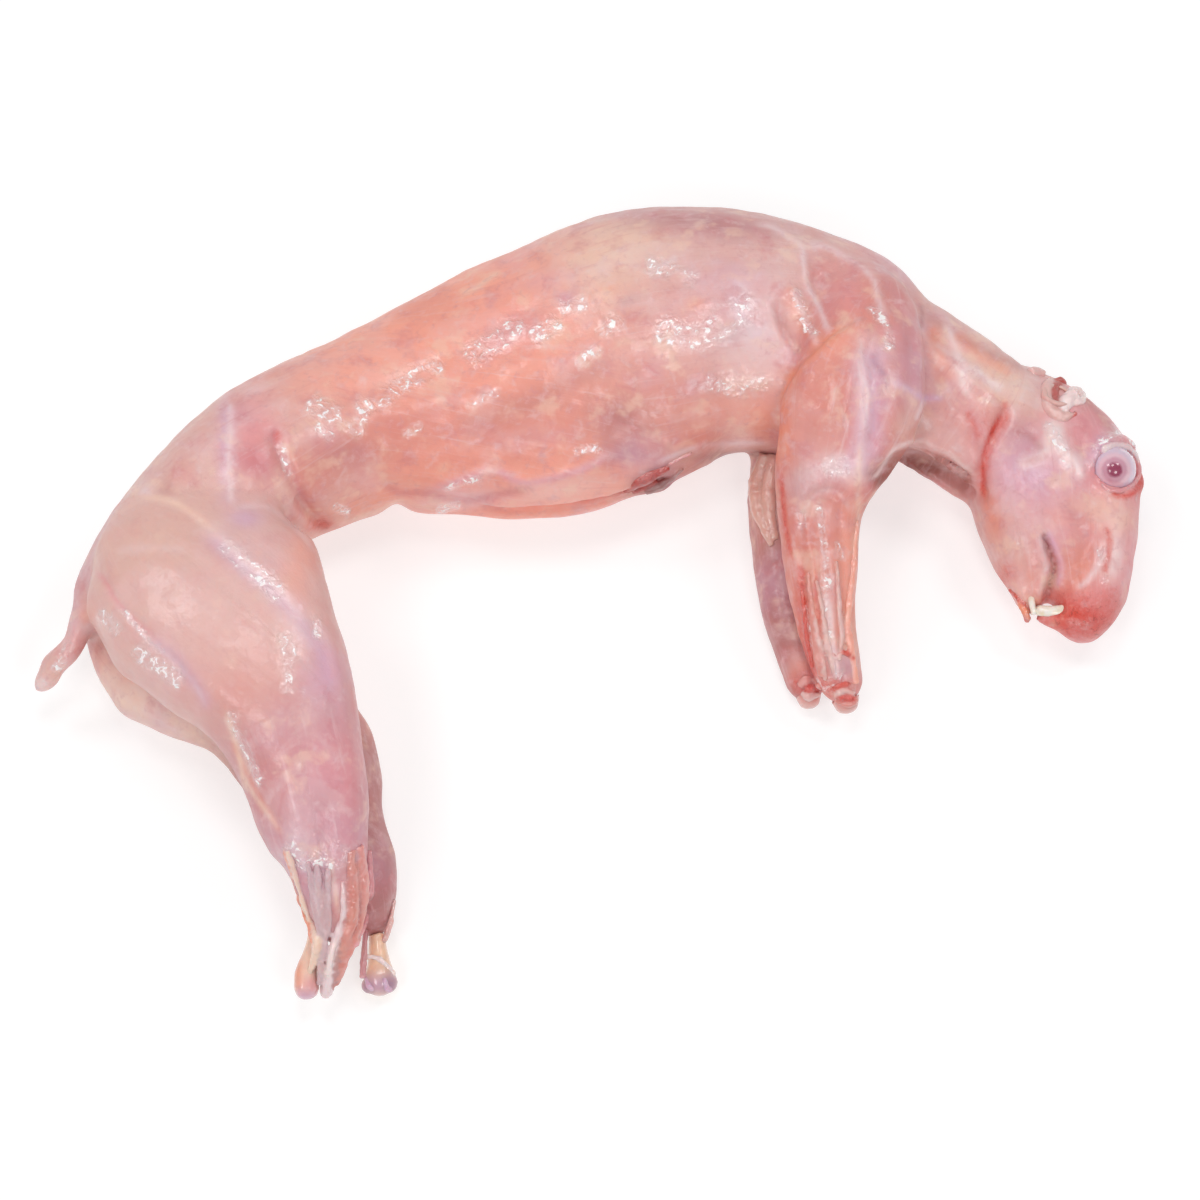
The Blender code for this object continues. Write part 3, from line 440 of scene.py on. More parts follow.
# Folds of the surface: sub-parts, kind, height or depth in mm, half width in mm, points.
FOLDS = [
    # Haunch and rump
    (HIND_NEAR, "ridge", 0.35, 1.6, HIP_CREASE),
    (HIND_NEAR, "step", 0.8, 2.4, [*HAUNCH_EDGE, (324, 640), (331, 658), (335, 681)]),
    (HIND_NEAR, "groove", 1.8, 2.4, [(273, 424), (278, 447), (290, 472), (306, 502), (318, 520)]),
    (HIND_NEAR, "groove", 2.0, 2.0, [(296, 498), (312, 516), (328, 530)]),
    (HIND_NEAR, "groove", 0.4, 1.6, GROIN_CREASE),
    (HIND_NEAR, "groove", 0.5, 1.4, SEAT_CREASE),
    (HIND_NEAR, "step", 0.8, 2.0, HAM_EDGE),
    (HIND_NEAR, "groove", 0.8, 2.2, [(209, 713), (238, 750), (252, 790), (283, 835)]),
    (HIND_NEAR, "step", 1.3, 2.6, [(278, 846), (292, 858), (304, 868), (322, 866), (336, 874),
                                    (352, 864), (372, 852)]),
    (HIND_NEAR, "groove", 0.5, 3.0, [(300, 760), (318, 800), (328, 850)]),
    (HIND_NEAR, "ridge", 0.5, 3.0, [(335, 740), (346, 790), (352, 850)]),
    (HIND_NEAR, "ridge", 0.5, 2.4, [(330, 640), (340, 690), (352, 760), (358, 830)]),
    # Loin and belly
    (TRUNK, "groove", 1.3, 2.0, FLAP_CREASE),
    (TRUNK, "ridge", 0.9, 2.4, [(436, 488), (471, 479), (497, 473), (514, 481), (536, 483),
                                (584, 470), (610, 456)]),
    (TRUNK, "groove", 0.7, 3.0, [(312, 400), (360, 392), (430, 365), (500, 322), (560, 300)]),
    (TRUNK, "ridge", 0.5, 4.0, [(330, 430), (400, 412), (470, 390), (560, 350)]),
    (TRUNK, "groove", 0.5, 4.0, FLANK_CREASE),
    # Chest
    (TRUNK, "groove", 2.2, 1.8, [(778, 300), (785, 327), (796, 347), (803, 362)]),
    (FORE_NEAR, "ridge", 1.5, 2.4, [(790, 284), (799, 310), (808, 332), (818, 349)]),
    (TRUNK, "groove", 0.5, 2.0, [(720, 345), (731, 332), (761, 324)]),
    (TRUNK, "ridge", 0.4, 3.0, [(640, 250), (660, 300), (690, 350), (720, 400)]),
    (TRUNK, "ridge", 0.4, 3.0, [(590, 270), (615, 320), (645, 370), (675, 420)]),
    (TRUNK, "ridge", 0.4, 3.0, [(690, 245), (710, 290), (735, 345), (755, 400)]),
    (TRUNK, "ridge", 0.8, 1.5, SLIT_EDGE),
    # Shoulder and forelimbs
    (FORE_NEAR, "ridge", 0.5, 1.6, BLADE_EDGE),
    (FORE_NEAR, "ridge", 1.0, 2.0, SHOULDER_EDGE),
    (FORE_NEAR, "groove", 1.4, 4.0, [(815, 270), (825, 297), (838, 322)]),
    (ARM_NEAR, "groove", 0.9, 2.0, [(862, 335), (872, 370), (876, 410), (868, 460)]),
    (ARM_NEAR, "step", 2.4, 2.2, [(866, 314), (850, 325), (833, 336), (805, 362), (790, 382),
                                  (782, 400), (778, 427)]),
    (ARM_NEAR, "ridge", 0.3, 3.0, [(860, 350), (866, 400), (862, 450), (855, 500)]),
    (ARM_NEAR, "groove", 0.5, 2.0, [(874, 352), (884, 380), (886, 410), (878, 440)]),
    (ARM_NEAR, "groove", 0.8, 3.0, [(850, 352), (848, 390), (838, 430), (822, 462)]),
    (FORE_NEAR, "groove", 0.8, 2.2, [(900, 300), (912, 340), (914, 380), (905, 430)]),
    (ARM_NEAR, "groove", 0.7, 1.4, ELBOW_CREASE),
    (ARM_NEAR, "groove", 0.6, 1.4, [(800, 540), (805, 610), (808, 670)]),
    (ARM_NEAR, "ridge", 0.6, 1.2, [(812, 540), (817, 610), (820, 680)]),
    (ARM_NEAR, "groove", 0.6, 1.2, [(822, 560), (825, 620), (828, 685)]),
    (ARM_NEAR, "ridge", 0.6, 1.2, [(832, 560), (834, 620), (838, 680)]),
    (ARM_NEAR, "groove", 0.7, 1.4, [(838, 500), (843, 560), (845, 620), (848, 660)]),
    # Throat
    (NECK, "groove", 3.0, 3.2, [(868, 486), (888, 470), (908, 459), (932, 464), (952, 472),
                                (974, 487)]),
    (NECK, "ridge", 0.9, 1.4, [(862, 480), (875, 475), (886, 460), (894, 449), (909, 442),
                               (923, 440), (933, 447), (947, 452), (962, 464), (977, 476)]),
    # Neck
    (NECK, "groove", 0.7, 2.2, [(905, 310), (950, 345), (1000, 372), (1035, 384)]),
    (NECK, "ridge", 0.5, 2.4, [(925, 340), (960, 372), (1000, 400)]),
    (NECK, "groove", 0.7, 2.4, [(915, 360), (948, 397), (978, 430), (984, 460)]),
    # Head
    (HEAD, "groove", 2.2, 1.6, [(1008, 405), (998, 428), (988, 450), (981, 478), (984, 505)]),
    (HEAD, "groove", 0.9, 2.4, [(1055, 470), (1070, 500), (1082, 520), (1110, 518)]),
    (HEAD, "ridge", 0.7, 2.0, [(1094, 462), (1101, 446), (1110, 440), (1122, 441), (1134, 452)]),
    (HEAD, "groove", 0.7, 1.3, [(1094, 470), (1099, 484), (1112, 493), (1128, 494)]),
    (HEAD, "groove", 2.4, 1.1, [(1043, 532), (1050, 552), (1054, 568), (1050, 584), (1046, 603)]),
    (HEAD, "ridge", 0.5, 2.0, [(1100, 540), (1094, 565), (1085, 590)]),
    (HEAD, "ridge", 0.5, 1.2, [(1038, 532), (1043, 555), (1046, 570), (1041, 588), (1036, 602)]),
    (HEAD, "ridge", 0.5, 1.2, [(1048, 528), (1058, 550), (1063, 568), (1058, 592)]),
    (HEAD, "ridge", 0.6, 2.2, [(1053, 420), (1050, 440), (1042, 460), (1015, 468)]),
    (HEAD, "ridge", 0.6, 2.2, [(1056, 425), (1063, 450), (1077, 464), (1082, 482)]),
    (HEAD, "ridge", 1.3, 1.5, [(1097, 478), (1094, 462), (1102, 446), (1118, 440), (1134, 450),
                               (1141, 468), (1138, 486), (1124, 497), (1107, 493), (1098, 480)]),
]

# Parts of the flesh that lie further in than the solids do: sub-parts, shift across and up in
# mm, middle, half sizes, and the heights in mm between which the shift fades out.
TUCKS = [
    (TRUNK, (0, 8), (680, 492), (30, 18), (16, 30)),
    (TRUNK, (0, 4), (640, 503), (30, 12), (16, 30)),
    (TRUNK, (0, 4), (397, 518), (13, 12), (90, 91)),
    (TAIL, (3.8, -1.0), (54, 636), (17, 28), (90, 91)),
    (TAIL, (1.6, 0), (70, 594), (14, 24), (90, 91)),
    (TAIL, (1.3, 0.3), (36, 674), (10, 14), (90, 91)),
    (TAIL, (-1.2, 0.3), (66, 672), (9, 14), (90, 91)),
]

# Where the membrane is wrinkled and wet enough to sparkle: sub-parts, half width in mm, points.
# Their crests also take painted sheen and painted glints in the flesh material.
SPARKLES = [
    # Haunch
    (HIND_NEAR, 3.0, [(218, 541), (240, 560), (262, 578), (285, 600)]),
    (TAIL, 1.6, [(72, 640), (56, 668), (42, 684)]),
    (HIND_NEAR, 1.0, [(118, 606), (140, 630), (165, 655)]),
    (HIND_NEAR, 2.5, [(101, 608), (110, 622), (120, 635)]),
    (HIND_NEAR, 3.0, [(131, 647), (147, 660), (163, 670), (185, 686)]),
    (HIND_NEAR, 3.0, [(280, 630), (290, 658), (292, 697)]),
    (HIND_NEAR, 1.5, [(317, 612), (318, 640)]),
    (HIND_NEAR, 1.6, [(280, 440), (286, 460), (292, 478)]),
    (HIND_NEAR, 1.5, [(352, 865), (356, 910)]),
    (HIND_NEAR, 3.0, [(285, 835), (300, 862), (330, 862), (352, 850)]),
    (HIND_NEAR, 2.0, [(226, 705), (240, 740), (262, 790)]),
    # Loin and belly
    (TRUNK, 4.0, [(306, 398), (326, 412), (345, 420), (368, 431)]),
    (TRUNK, 2.0, [(315, 424), (333, 440)]),
    (TRUNK, 1.5, [(333, 507), (351, 514)]),
    (TRUNK, 3.5, [(350, 412), (376, 402), (400, 385), (430, 368), (447, 360)]),
    (TRUNK, 4.0, [(462, 358), (484, 347), (505, 335), (523, 316)]),
    (TRUNK, 3.0, [(529, 339), (545, 330), (562, 320)]),
    (TRUNK, 2.5, [(558, 308), (575, 305), (588, 302)]),
    (TRUNK, 2.0, [(575, 366), (601, 346)]),
    (TRUNK, 3.0, [(598, 336), (622, 318)]),
    (TRUNK, 1.5, [(464, 407), (502, 390)]),
    (TRUNK, 1.5, [(402, 437), (425, 424)]),
    (TRUNK, 1.4, [(440, 489), (476, 479), (500, 473)]),
    (TRUNK, 1.2, [(436, 510), (462, 506)]),
    (TRUNK, 1.4, [(572, 452), (602, 447)]),
    # Chest
    (TRUNK, 3.0, [(640, 262), (668, 270), (700, 282)]),
    (TRUNK, 5.0, [(650, 330), (700, 335), (760, 300)]),
    (TRUNK, 3.0, [(690, 380), (740, 388), (770, 380)]),
    # Shoulder, forelimbs and neck
    (FORE_NEAR, 2.2, [(792, 288), (804, 318), (816, 345)]),
    (FORE_NEAR, 2.0, [(868, 300), (886, 330), (890, 352)]),
    (ARM_NEAR, 1.2, [(818, 500), (826, 560), (830, 600)]),
    (ARM_NEAR, 1.2, [(836, 540), (842, 560)]),
    (ARM_NEAR, 3.0, [(822, 470), (850, 462)]),
    (ARM_NEAR, 1.4, [(800, 510), (803, 530)]),
    (ARM_NEAR, 2.0, [(836, 672), (846, 682)]),
    (ARM_NEAR, 1.2, [(804, 600), (810, 650)]),
    (ARM_NEAR, 1.6, [(822, 570), (830, 650)]),
    (ARM_NEAR, 3.0, [(800, 690), (828, 684), (855, 696)]),
    (NECK, 1.0, [(966, 384), (990, 402)]),
    (HEAD, 1.4, [(1060, 612), (1082, 624), (1104, 630)]),
    (HEAD, 1.6, [(1100, 545), (1106, 585)]),
    (HEAD, 2.0, [(1092, 470), (1100, 444), (1122, 438), (1140, 462)]),
    (HEAD, 2.0, [(1046, 420), (1060, 450), (1072, 470)]),
]

# How much thin white sheet lies over each sub-part.
SHEET_SHARE = {
    "pelvis": 0.5, "loin": 0.45, "chest": 0.6, "neck": 0.8, "head": 0.8, "lower_jaw": 0.8,
    "tail": 0.6, "thigh_right": 0.3, "shank_right": 0.7, "thigh_left": 0.5, "shank_left": 0.7,
    "upper_arm_right": 0.5, "forearm_right": 0.5, "upper_arm_left": 0.8, "forearm_left": 0.8,
}

# Strands, scraps and rims that lie on the flesh. Each has a tone, and points as pixel across,
# pixel down, half width in mm, and height over the floor in mm where nothing lies below it.
STRANDS = {
    "leg_end_strands": [
        ("cream", [(288, 850, 0.9), (297, 876, 1.2), (305, 902, 1.4), (313, 922, 1.5),
                   (317, 940, 1.5, 30), (315, 955, 1.4, 25), (311, 968, 1.2, 21),
                   (308, 978, 0.8, 18)]),
        ("orange", [(283, 846, 0.8), (292, 872, 0.9), (300, 900, 1.0), (308, 922, 1.0),
                    (313, 942, 1.0, 29)]),
        ("grey", [(308, 862, 0.9), (311, 885, 1.2), (316, 915, 1.2), (321, 940, 1.1, 29),
                  (321, 965, 1.0, 23), (319, 985, 0.9, 18)]),
        ("grey", [(317, 864, 0.9), (319, 890, 1.3), (322, 915, 1.3), (325, 938, 1.1, 30),
                  (323, 960, 0.9, 25)]),
        ("grey", [(328, 868, 0.9), (328, 890, 1.3), (329, 915, 1.2), (328, 936, 1.0, 30)]),
        ("film", [(342, 880, 0.9), (343, 905, 1.1), (340, 925, 1.3), (334, 945, 1.3, 29),
                  (329, 970, 1.3, 22), (325, 997, 1.4, 15)]),
        ("white", [(338, 935, 0.7), (332, 952, 0.9, 29), (327, 975, 0.9, 22)]),
        ("blood", [(347, 915, 0.6), (343, 940, 0.8, 28), (336, 970, 0.8, 20)]),
        ("plum", [(345, 930, 1.0), (337, 958, 1.2, 25), (331, 990, 1.0, 15)]),
        ("muscle", [(350, 850, 1.6), (352, 888, 2.3), (351, 918, 2.2), (345, 946, 1.6, 28),
                    (336, 985, 0.8, 16)]),
        ("salmon", [(359, 846, 1.8), (362, 886, 2.5), (359, 918, 2.1), (350, 948, 1.4, 27),
                    (338, 982, 0.8, 16)]),
        ("rose", [(369, 850, 1.2), (370, 888, 1.5), (366, 916, 1.3), (355, 944, 1.0, 27)]),
    ],
    "far_leg_sinew": [
        ("white", [(364, 958, 0.8), (374, 957, 0.9), (385, 964, 1.0), (394, 975, 0.8)]),
        ("mauve", [(366, 930, 0.9), (364, 955, 1.0), (363, 978, 1.2)]),
        ("pale", [(394, 900, 0.9), (390, 926, 1.0), (384, 942, 0.8)]),
        ("lilac", [(366, 976, 0.8), (369, 984, 1.2), (374, 990, 0.9)]),
        ("lilac", [(384, 978, 0.7), (386, 987, 1.2), (391, 990, 0.9)]),
    ],
    "wrist_strands": [
        ("pale", [(816, 580, 0.8), (822, 612, 1.1), (827, 640, 1.3), (832, 662, 1.2),
                  (836, 680, 0.9)]),
        ("blood", [(802, 590, 0.8), (805, 615, 1.0), (808, 640, 1.1), (813, 668, 1.1)]),
        ("salmon", [(808, 572, 0.8), (811, 600, 1.1), (815, 640, 1.3), (821, 676, 1.2)]),
        # A pale strand where the forearm shows light: partly a painted highlight.
        ("pale", [(812, 600, 0.8), (819, 640, 1.0), (826, 680, 1.0)]),
        ("peach", [(857, 520, 0.9), (852, 575, 1.3), (847, 618, 1.5), (850, 645, 1.7),
                   (855, 684, 1.5)]),
        ("pale", [(836, 560, 1.0), (838, 600, 1.2), (841, 640, 1.2), (838, 660, 1.0)]),
        ("pale", [(835, 698, 0.8), (838, 692, 1.3), (847, 690, 0.9), (854, 693, 1.2)]),
        ("salmon", [(856, 698, 1.2), (850, 704, 1.3), (841, 704, 1.0), (836, 700, 1.2)]),
        ("blood", [(832, 690, 0.9), (840, 685, 1.1), (850, 684, 0.9)]),
        ("blood", [(839, 697, 1.3), (846, 697, 1.6), (852, 698, 1.3)]),
        ("salmon", [(800, 686, 1.2), (806, 679, 1.6), (815, 680, 1.1), (821, 686, 1.5)]),
        ("pale", [(819, 694, 1.1), (809, 697, 1.5), (802, 692, 1.2)]),
        ("blood", [(806, 688, 1.3), (814, 688, 1.3)]),
        ("blood", [(830, 656, 0.9), (841, 652, 1.0), (852, 656, 0.9)]),
    ],
    "far_elbow_flap": [
        ("beige", [(766, 455, 2.4), (757, 482, 3.0), (758, 508, 2.8), (766, 530, 2.0),
                   (772, 546, 1.0)]),
        ("beige", [(774, 455, 2.2), (769, 490, 2.8), (770, 515, 2.4), (776, 540, 1.4)]),
    ],
    "belly_scraps": [
        ("gore", [(626, 490, 1.0), (635, 484, 1.9), (645, 478, 2.6), (655, 473, 2.2),
                  (668, 467, 1.2)]),
        ("gore", [(632, 492, 1.0), (645, 486, 1.6), (656, 480, 1.2)]),
        # A dark strand in the belly slit, partly painted shade.
        ("throat", [(645, 492, 1.2), (658, 486, 1.6), (671, 478, 1.2), (682, 468, 0.9)]),
        ("rose", [(668, 464, 0.7), (680, 458, 0.8), (692, 452, 0.6)]),
    ],
    "ear_cartilage": [
        ("pale", [(1051, 379, 1.5), (1047, 388, 2.2), (1046, 398, 2.4), (1049, 408, 2.6),
                  (1056, 415, 2.8), (1064, 418, 2.2), (1071, 414, 1.4)]),
        ("gore", [(1059, 384, 1.4), (1055, 391, 1.8), (1055, 400, 1.8), (1058, 408, 1.2)]),
        ("gore", [(1056, 381, 1.0), (1061, 380, 1.1), (1066, 384, 0.9)]),
        ("white", [(1063, 411, 2.2), (1066, 404, 3.0), (1070, 399, 3.2), (1074, 397, 3.2)]),
        ("white", [(1067, 397, 1.5), (1071, 391, 1.5), (1077, 390, 1.5), (1082, 395, 1.5),
                   (1081, 401, 1.5), (1076, 404, 1.5), (1070, 403, 1.5), (1067, 398, 1.5)]),
        ("blood", [(1071, 417, 0.7), (1076, 413, 0.7)]),
        ("pale", [(1030, 372, 1.8), (1036, 373, 2.2), (1044, 375, 1.8)]),
    ],
    "eye_rim": [
        ("film", [(1102, 486, 1.0), (1097, 474, 1.3), (1097, 462, 1.6), (1103, 451, 1.8),
                  (1113, 445, 1.7), (1124, 446, 1.4), (1133, 452, 1.1), (1138, 462, 0.9)]),
        ("rose", [(1138, 462, 0.9), (1139, 474, 1.0), (1133, 485, 1.1), (1122, 491, 1.1),
                  (1110, 491, 1.1), (1102, 486, 1.0)]),
    ],
    "jaw_scrap": [
        ("orange", [(1018, 600, 0.9), (1024, 610, 1.1), (1029, 620, 0.8)]),
        ("blood", [(1010, 590, 0.8), (1018, 598, 1.0), (1026, 604, 0.9)]),
    ],
}


# The photograph's camera


class Sight:
    """Where the camera stands, and what it sees of a point."""

    def __init__(self, distance):
        low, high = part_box("eye_right")
        self.target = (low + high) / 2 + Vector(EYE_TO_MIDDLE) * MM
        self.back = Vector((0, -math.cos(SIGHT), math.sin(SIGHT)))
        self.right = Vector((1, 0, 0))
        self.up = Vector((0, math.sin(SIGHT), math.cos(SIGHT)))
        self.distance = distance
        self.place = self.target + self.back * distance

    def pixels(self, points):
        """The photograph's pixel of each point of an array."""
        away = points - np.array(self.target)
        nearness = self.distance / (self.distance - away @ np.array(self.back))
        scale = PIXELS_PER_MM / MM * nearness
        across = PHOTO_SIDE / 2 + (away @ np.array(self.right)) * scale
        down = PHOTO_SIDE / 2 - (away @ np.array(self.up)) * scale
        return np.column_stack([across, down])

    def facing(self, points, normals):
        """How squarely each point of the surface faces the camera, from -1 to 1."""
        way = np.array(self.place) - points
        way /= np.linalg.norm(way, axis=1)[:, None]
        return np.einsum("ij,ij->i", way, normals)

    def line(self, pixel):
        """The start and direction of the line of sight through a pixel."""
        across = (pixel[0] - PHOTO_SIDE / 2) / PIXELS_PER_MM * MM
        down = (pixel[1] - PHOTO_SIDE / 2) / PIXELS_PER_MM * MM
        spot = self.target + self.right * across - self.up * down
        return self.place, (spot - self.place).normalized()


def smooth_step(value, low, high):
    """0 below low, 1 above high, and a smooth rise between them."""
    t = np.clip((value - low) / (high - low), 0, 1)
    return t * t * (3 - 2 * t)


def smooth_line(points, steps=4):
    """More points on a Catmull-Rom curve through the given ones."""
    p = np.array(points, float)
    p = np.vstack([2 * p[0] - p[1], p, 2 * p[-1] - p[-2]])
    found = []
    for a, b, c, d in zip(p, p[1:], p[2:], p[3:]):
        for t in np.arange(steps) / steps:
            found.append(0.5 * (2 * b + (c - a) * t + (2 * a - 5 * b + 4 * c - d) * t**2
                                + (3 * b - a - 3 * c + d) * t**3))
    return np.array([*found, p[-2]])


def from_line(pixels, points):
    """Each pixel's signed distance from a line, and its place along it from 0 to 1."""
    line = smooth_line(points)
    lengths = np.linalg.norm(np.diff(line, axis=0), axis=1)
    starts = np.concatenate([[0], np.cumsum(lengths)])
    nearest = np.full(len(pixels), np.inf)
    signed = np.full(len(pixels), np.inf)
    along = np.zeros(len(pixels))
    for start, end, length, begun in zip(line, line[1:], lengths, starts):
        way = (end - start) / length
        away = pixels - start
        travel = np.clip(away @ way, 0, length)
        gap = away - travel[:, None] * way
        distance = np.hypot(gap[:, 0], gap[:, 1])
        side = np.where(away[:, 0] * way[1] - away[:, 1] * way[0] < 0, -1, 1)
        closer = distance < nearest
        nearest = np.where(closer, distance, nearest)
        signed = np.where(closer, distance * side, signed)
        along = np.where(closer, (begun + travel) / starts[-1], along)
    return signed, along


def linear(colour):
    """Scene-linear values of a colour given as a screen shows it."""
    shown = np.array(colour[:3], float)
    return np.where(shown <= 0.04045, shown / 12.92, ((shown + 0.055) / 1.055) ** 2.4)


# Meshes


def select_only(*pieces):
    """Make these objects the whole selection, and the first one active."""
    if bpy.context.object and bpy.context.object.mode != "OBJECT":
        bpy.ops.object.mode_set(mode="OBJECT")
    bpy.ops.object.select_all(action="DESELECT")
    for piece in pieces:
        piece.select_set(True)
    bpy.context.view_layer.objects.active = pieces[0]


def apply_modifier(piece, name, kind, **settings):
    """Add a modifier with these settings, and apply it."""
    select_only(piece)
    step = piece.modifiers.new(name, kind)
    for key, value in settings.items():
        setattr(step, key, value)
    bpy.ops.object.modifier_apply(modifier=step.name)


def merged_copy(name, nodes):
    """One object from copies of CAD nodes, with their loose triangles merged."""
    copies = []
    for node in nodes:
        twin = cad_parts[node].copy()
        twin.data = twin.data.copy()
        bpy.context.scene.collection.objects.link(twin)
        twin.parent = None
        copies.append(twin)
    for twin in copies:
        for key in list(twin.keys()):
            del twin[key]
    select_only(*copies)
    if len(copies) > 1:
        bpy.ops.object.join()
    piece = bpy.context.object
    piece.name = name
    piece.data.name = name
    bpy.ops.object.mode_set(mode="EDIT")
    bpy.ops.mesh.select_all(action="SELECT")
    bpy.ops.mesh.remove_doubles(threshold=LOOSE_GAP)
    bpy.ops.object.mode_set(mode="OBJECT")
    piece.data.materials.clear()
    for custom in ("sharp_face", "sharp_edge", "custom_normal"):
        if custom in piece.data.attributes:
            piece.data.attributes.remove(piece.data.attributes[custom])
    return piece


def melted(name, nodes, voxel, swell):
    """One closed surface over CAD nodes that lie a hair apart."""
    piece = merged_copy(name, nodes)
    apply_modifier(piece, "swell", "DISPLACE", strength=swell * MM, mid_level=0)
    apply_modifier(piece, "melt", "REMESH", mode="VOXEL", voxel_size=voxel * MM)
    keep_largest(piece)
    return piece


def keep_largest(piece):
    """Delete all but the largest connected surface."""
    body = Surface(piece)
    group = np.arange(len(body.points))
    while True:
        low = np.minimum(group[body.edges[:, 0]], group[body.edges[:, 1]])
        grown = group.copy()
        np.minimum.at(grown, body.edges[:, 0], low)
        np.minimum.at(grown, body.edges[:, 1], low)
        grown = grown[grown]
        if (grown == group).all():
            break
        group = grown
    counts = np.bincount(group)
    select_only(piece)
    piece.data.vertices.foreach_set("select", group != counts.argmax())
    bpy.ops.object.mode_set(mode="EDIT")
    bpy.ops.mesh.select_mode(type="VERT")
    bpy.ops.object.mode_set(mode="OBJECT")
    piece.data.vertices.foreach_set("select", group != counts.argmax())
    bpy.ops.object.mode_set(mode="EDIT")
    bpy.ops.mesh.delete(type="VERT")
    bpy.ops.object.mode_set(mode="OBJECT")


class Surface:
    """A mesh's points, edges and normals as arrays, for moves in code."""

    def __init__(self, piece):
        self.mesh = piece.data
        count = len(self.mesh.vertices)
        flat = np.empty(count * 3)
        self.mesh.vertices.foreach_get("co", flat)
        self.points = flat.reshape(-1, 3).copy()
        pairs = np.empty(len(self.mesh.edges) * 2, np.int64)
        self.mesh.edges.foreach_get("vertices", pairs)
        self.edges = pairs.reshape(-1, 2)
        self.counts = np.bincount(self.edges.ravel(), minlength=count)
        self.read_normals()

    def read_normals(self):
        """Take the normals anew from the mesh."""
        flat = np.empty(len(self.points) * 3)
        self.mesh.vertices.foreach_get("normal", flat)
        self.normals = flat.reshape(-1, 3).copy()

    def write(self):
        """Put the points back in the mesh."""
        self.mesh.vertices.foreach_set("co", self.points.ravel())
        self.mesh.update()
        self.read_normals()

    def spread(self, values, rounds, share=0.5):
        """Average each value with its neighbours' so many times."""
        values = values.astype(float).copy()
        columns = values.reshape(len(values), -1)
        first, second = self.edges.T
        for _ in range(rounds):
            for k in range(columns.shape[1]):
                column = columns[:, k]
                total = np.bincount(first, column[second], len(column))
                total += np.bincount(second, column[first], len(column))
                column += (total / self.counts - column) * share
        return columns.reshape(values.shape)

    def relax(self, rounds, share, keep_bulk=20):
        """Smooth the surface, then give back the bulk that smoothing took."""
        smoothed = self.spread(self.points, rounds, share)
        lost = np.einsum("ij,ij->i", self.points - smoothed, self.normals)
        self.points = smoothed
        self.write()
        lost = self.spread(lost, keep_bulk)
        self.points = self.points + self.normals * lost[:, None]
        self.write()

    def push(self, amounts):
        """Move each point out along its normal by so many millimetres."""
        self.points = self.points + self.normals * (amounts * MM)[:, None]
        self.write()

    def store(self, name, values):
        """Keep one number, or a colour, for each point in the mesh."""
        kind = "FLOAT" if values.ndim == 1 else "FLOAT_COLOR"
        layer = self.mesh.attributes.new(name, kind, "POINT")
        if values.ndim == 1:
            layer.data.foreach_set("value", values.astype(np.float32))
            return
        full = np.column_stack([values, np.ones(len(values))])
        layer.data.foreach_set("color", full.astype(np.float32).ravel())


def nearest_nodes(points, nodes):
    """The index in nodes of the CAD node that lies nearest to each point."""
    verts = []
    faces = []
    owners = []
    for index, node in enumerate(nodes):
        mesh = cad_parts[node].data
        base = len(verts)
        verts.extend(v.co for v in mesh.vertices)
        for polygon in mesh.polygons:
            faces.append([base + v for v in polygon.vertices])
            owners.append(index)
    tree = BVHTree.FromPolygons(verts, faces)
    return np.array([owners[tree.find_nearest(Vector(p))[2]] for p in points])


def lumps(points, layers):
    """Smooth random numbers about zero, summed over layers."""
    total = np.zeros(len(points))
    for height, wavelength, seed in layers:
        scaled = points / (wavelength * MM) + seed
        total += height * np.array([noise.noise(Vector(p)) for p in scaled])
    return total


def point_tree(points):
    """A search tree of these points."""
    tree = KDTree(len(points))
    for index, point in enumerate(points):
        tree.insert(point, index)
    tree.balance()
    return tree


def finish_piece(piece, material, kind, *nodes):
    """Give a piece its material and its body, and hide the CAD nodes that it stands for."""
    piece.data.materials.append(material)
    piece.data.shade_smooth()
    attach(piece, "root")
    if nodes:
        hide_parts(*nodes)


class Tinted(Surface):
    """A surface whose points have a colour each, and a share of blood and of wetness."""

    def __init__(self, piece, colours):
        super().__init__(piece)
        self.colours = colours
        count = len(self.points)
        self.tint = np.ones((count, 3))
        self.blood = np.zeros(count)
        self.gloss = np.zeros(count)
        self.ragged = lumps(self.points, RAGS)
        self.clusters = smooth_step(lumps(self.points, CLUSTERS), *CLUSTER)

    def tone(self, name):
        """A tone of the settings, in scene-linear values."""
        return linear(getattr(self.colours, name))

    def blend(self, tone, amount):
        """Mix a tone in, by a share for each point."""
        amount = np.clip(amount, 0, 1)
        self.tint += (self.tone(tone) - self.tint) * amount[:, None]
        if tone == "blood":
            self.blood = np.maximum(self.blood, amount)

    def keep(self, grain, sheets):
        """Store all that the flesh material reads."""
        self.store("tint", self.tint)
        self.store("blood", self.blood)
        self.store("gloss", self.gloss)
        self.store("grain", grain)
        self.store("sheets", sheets)


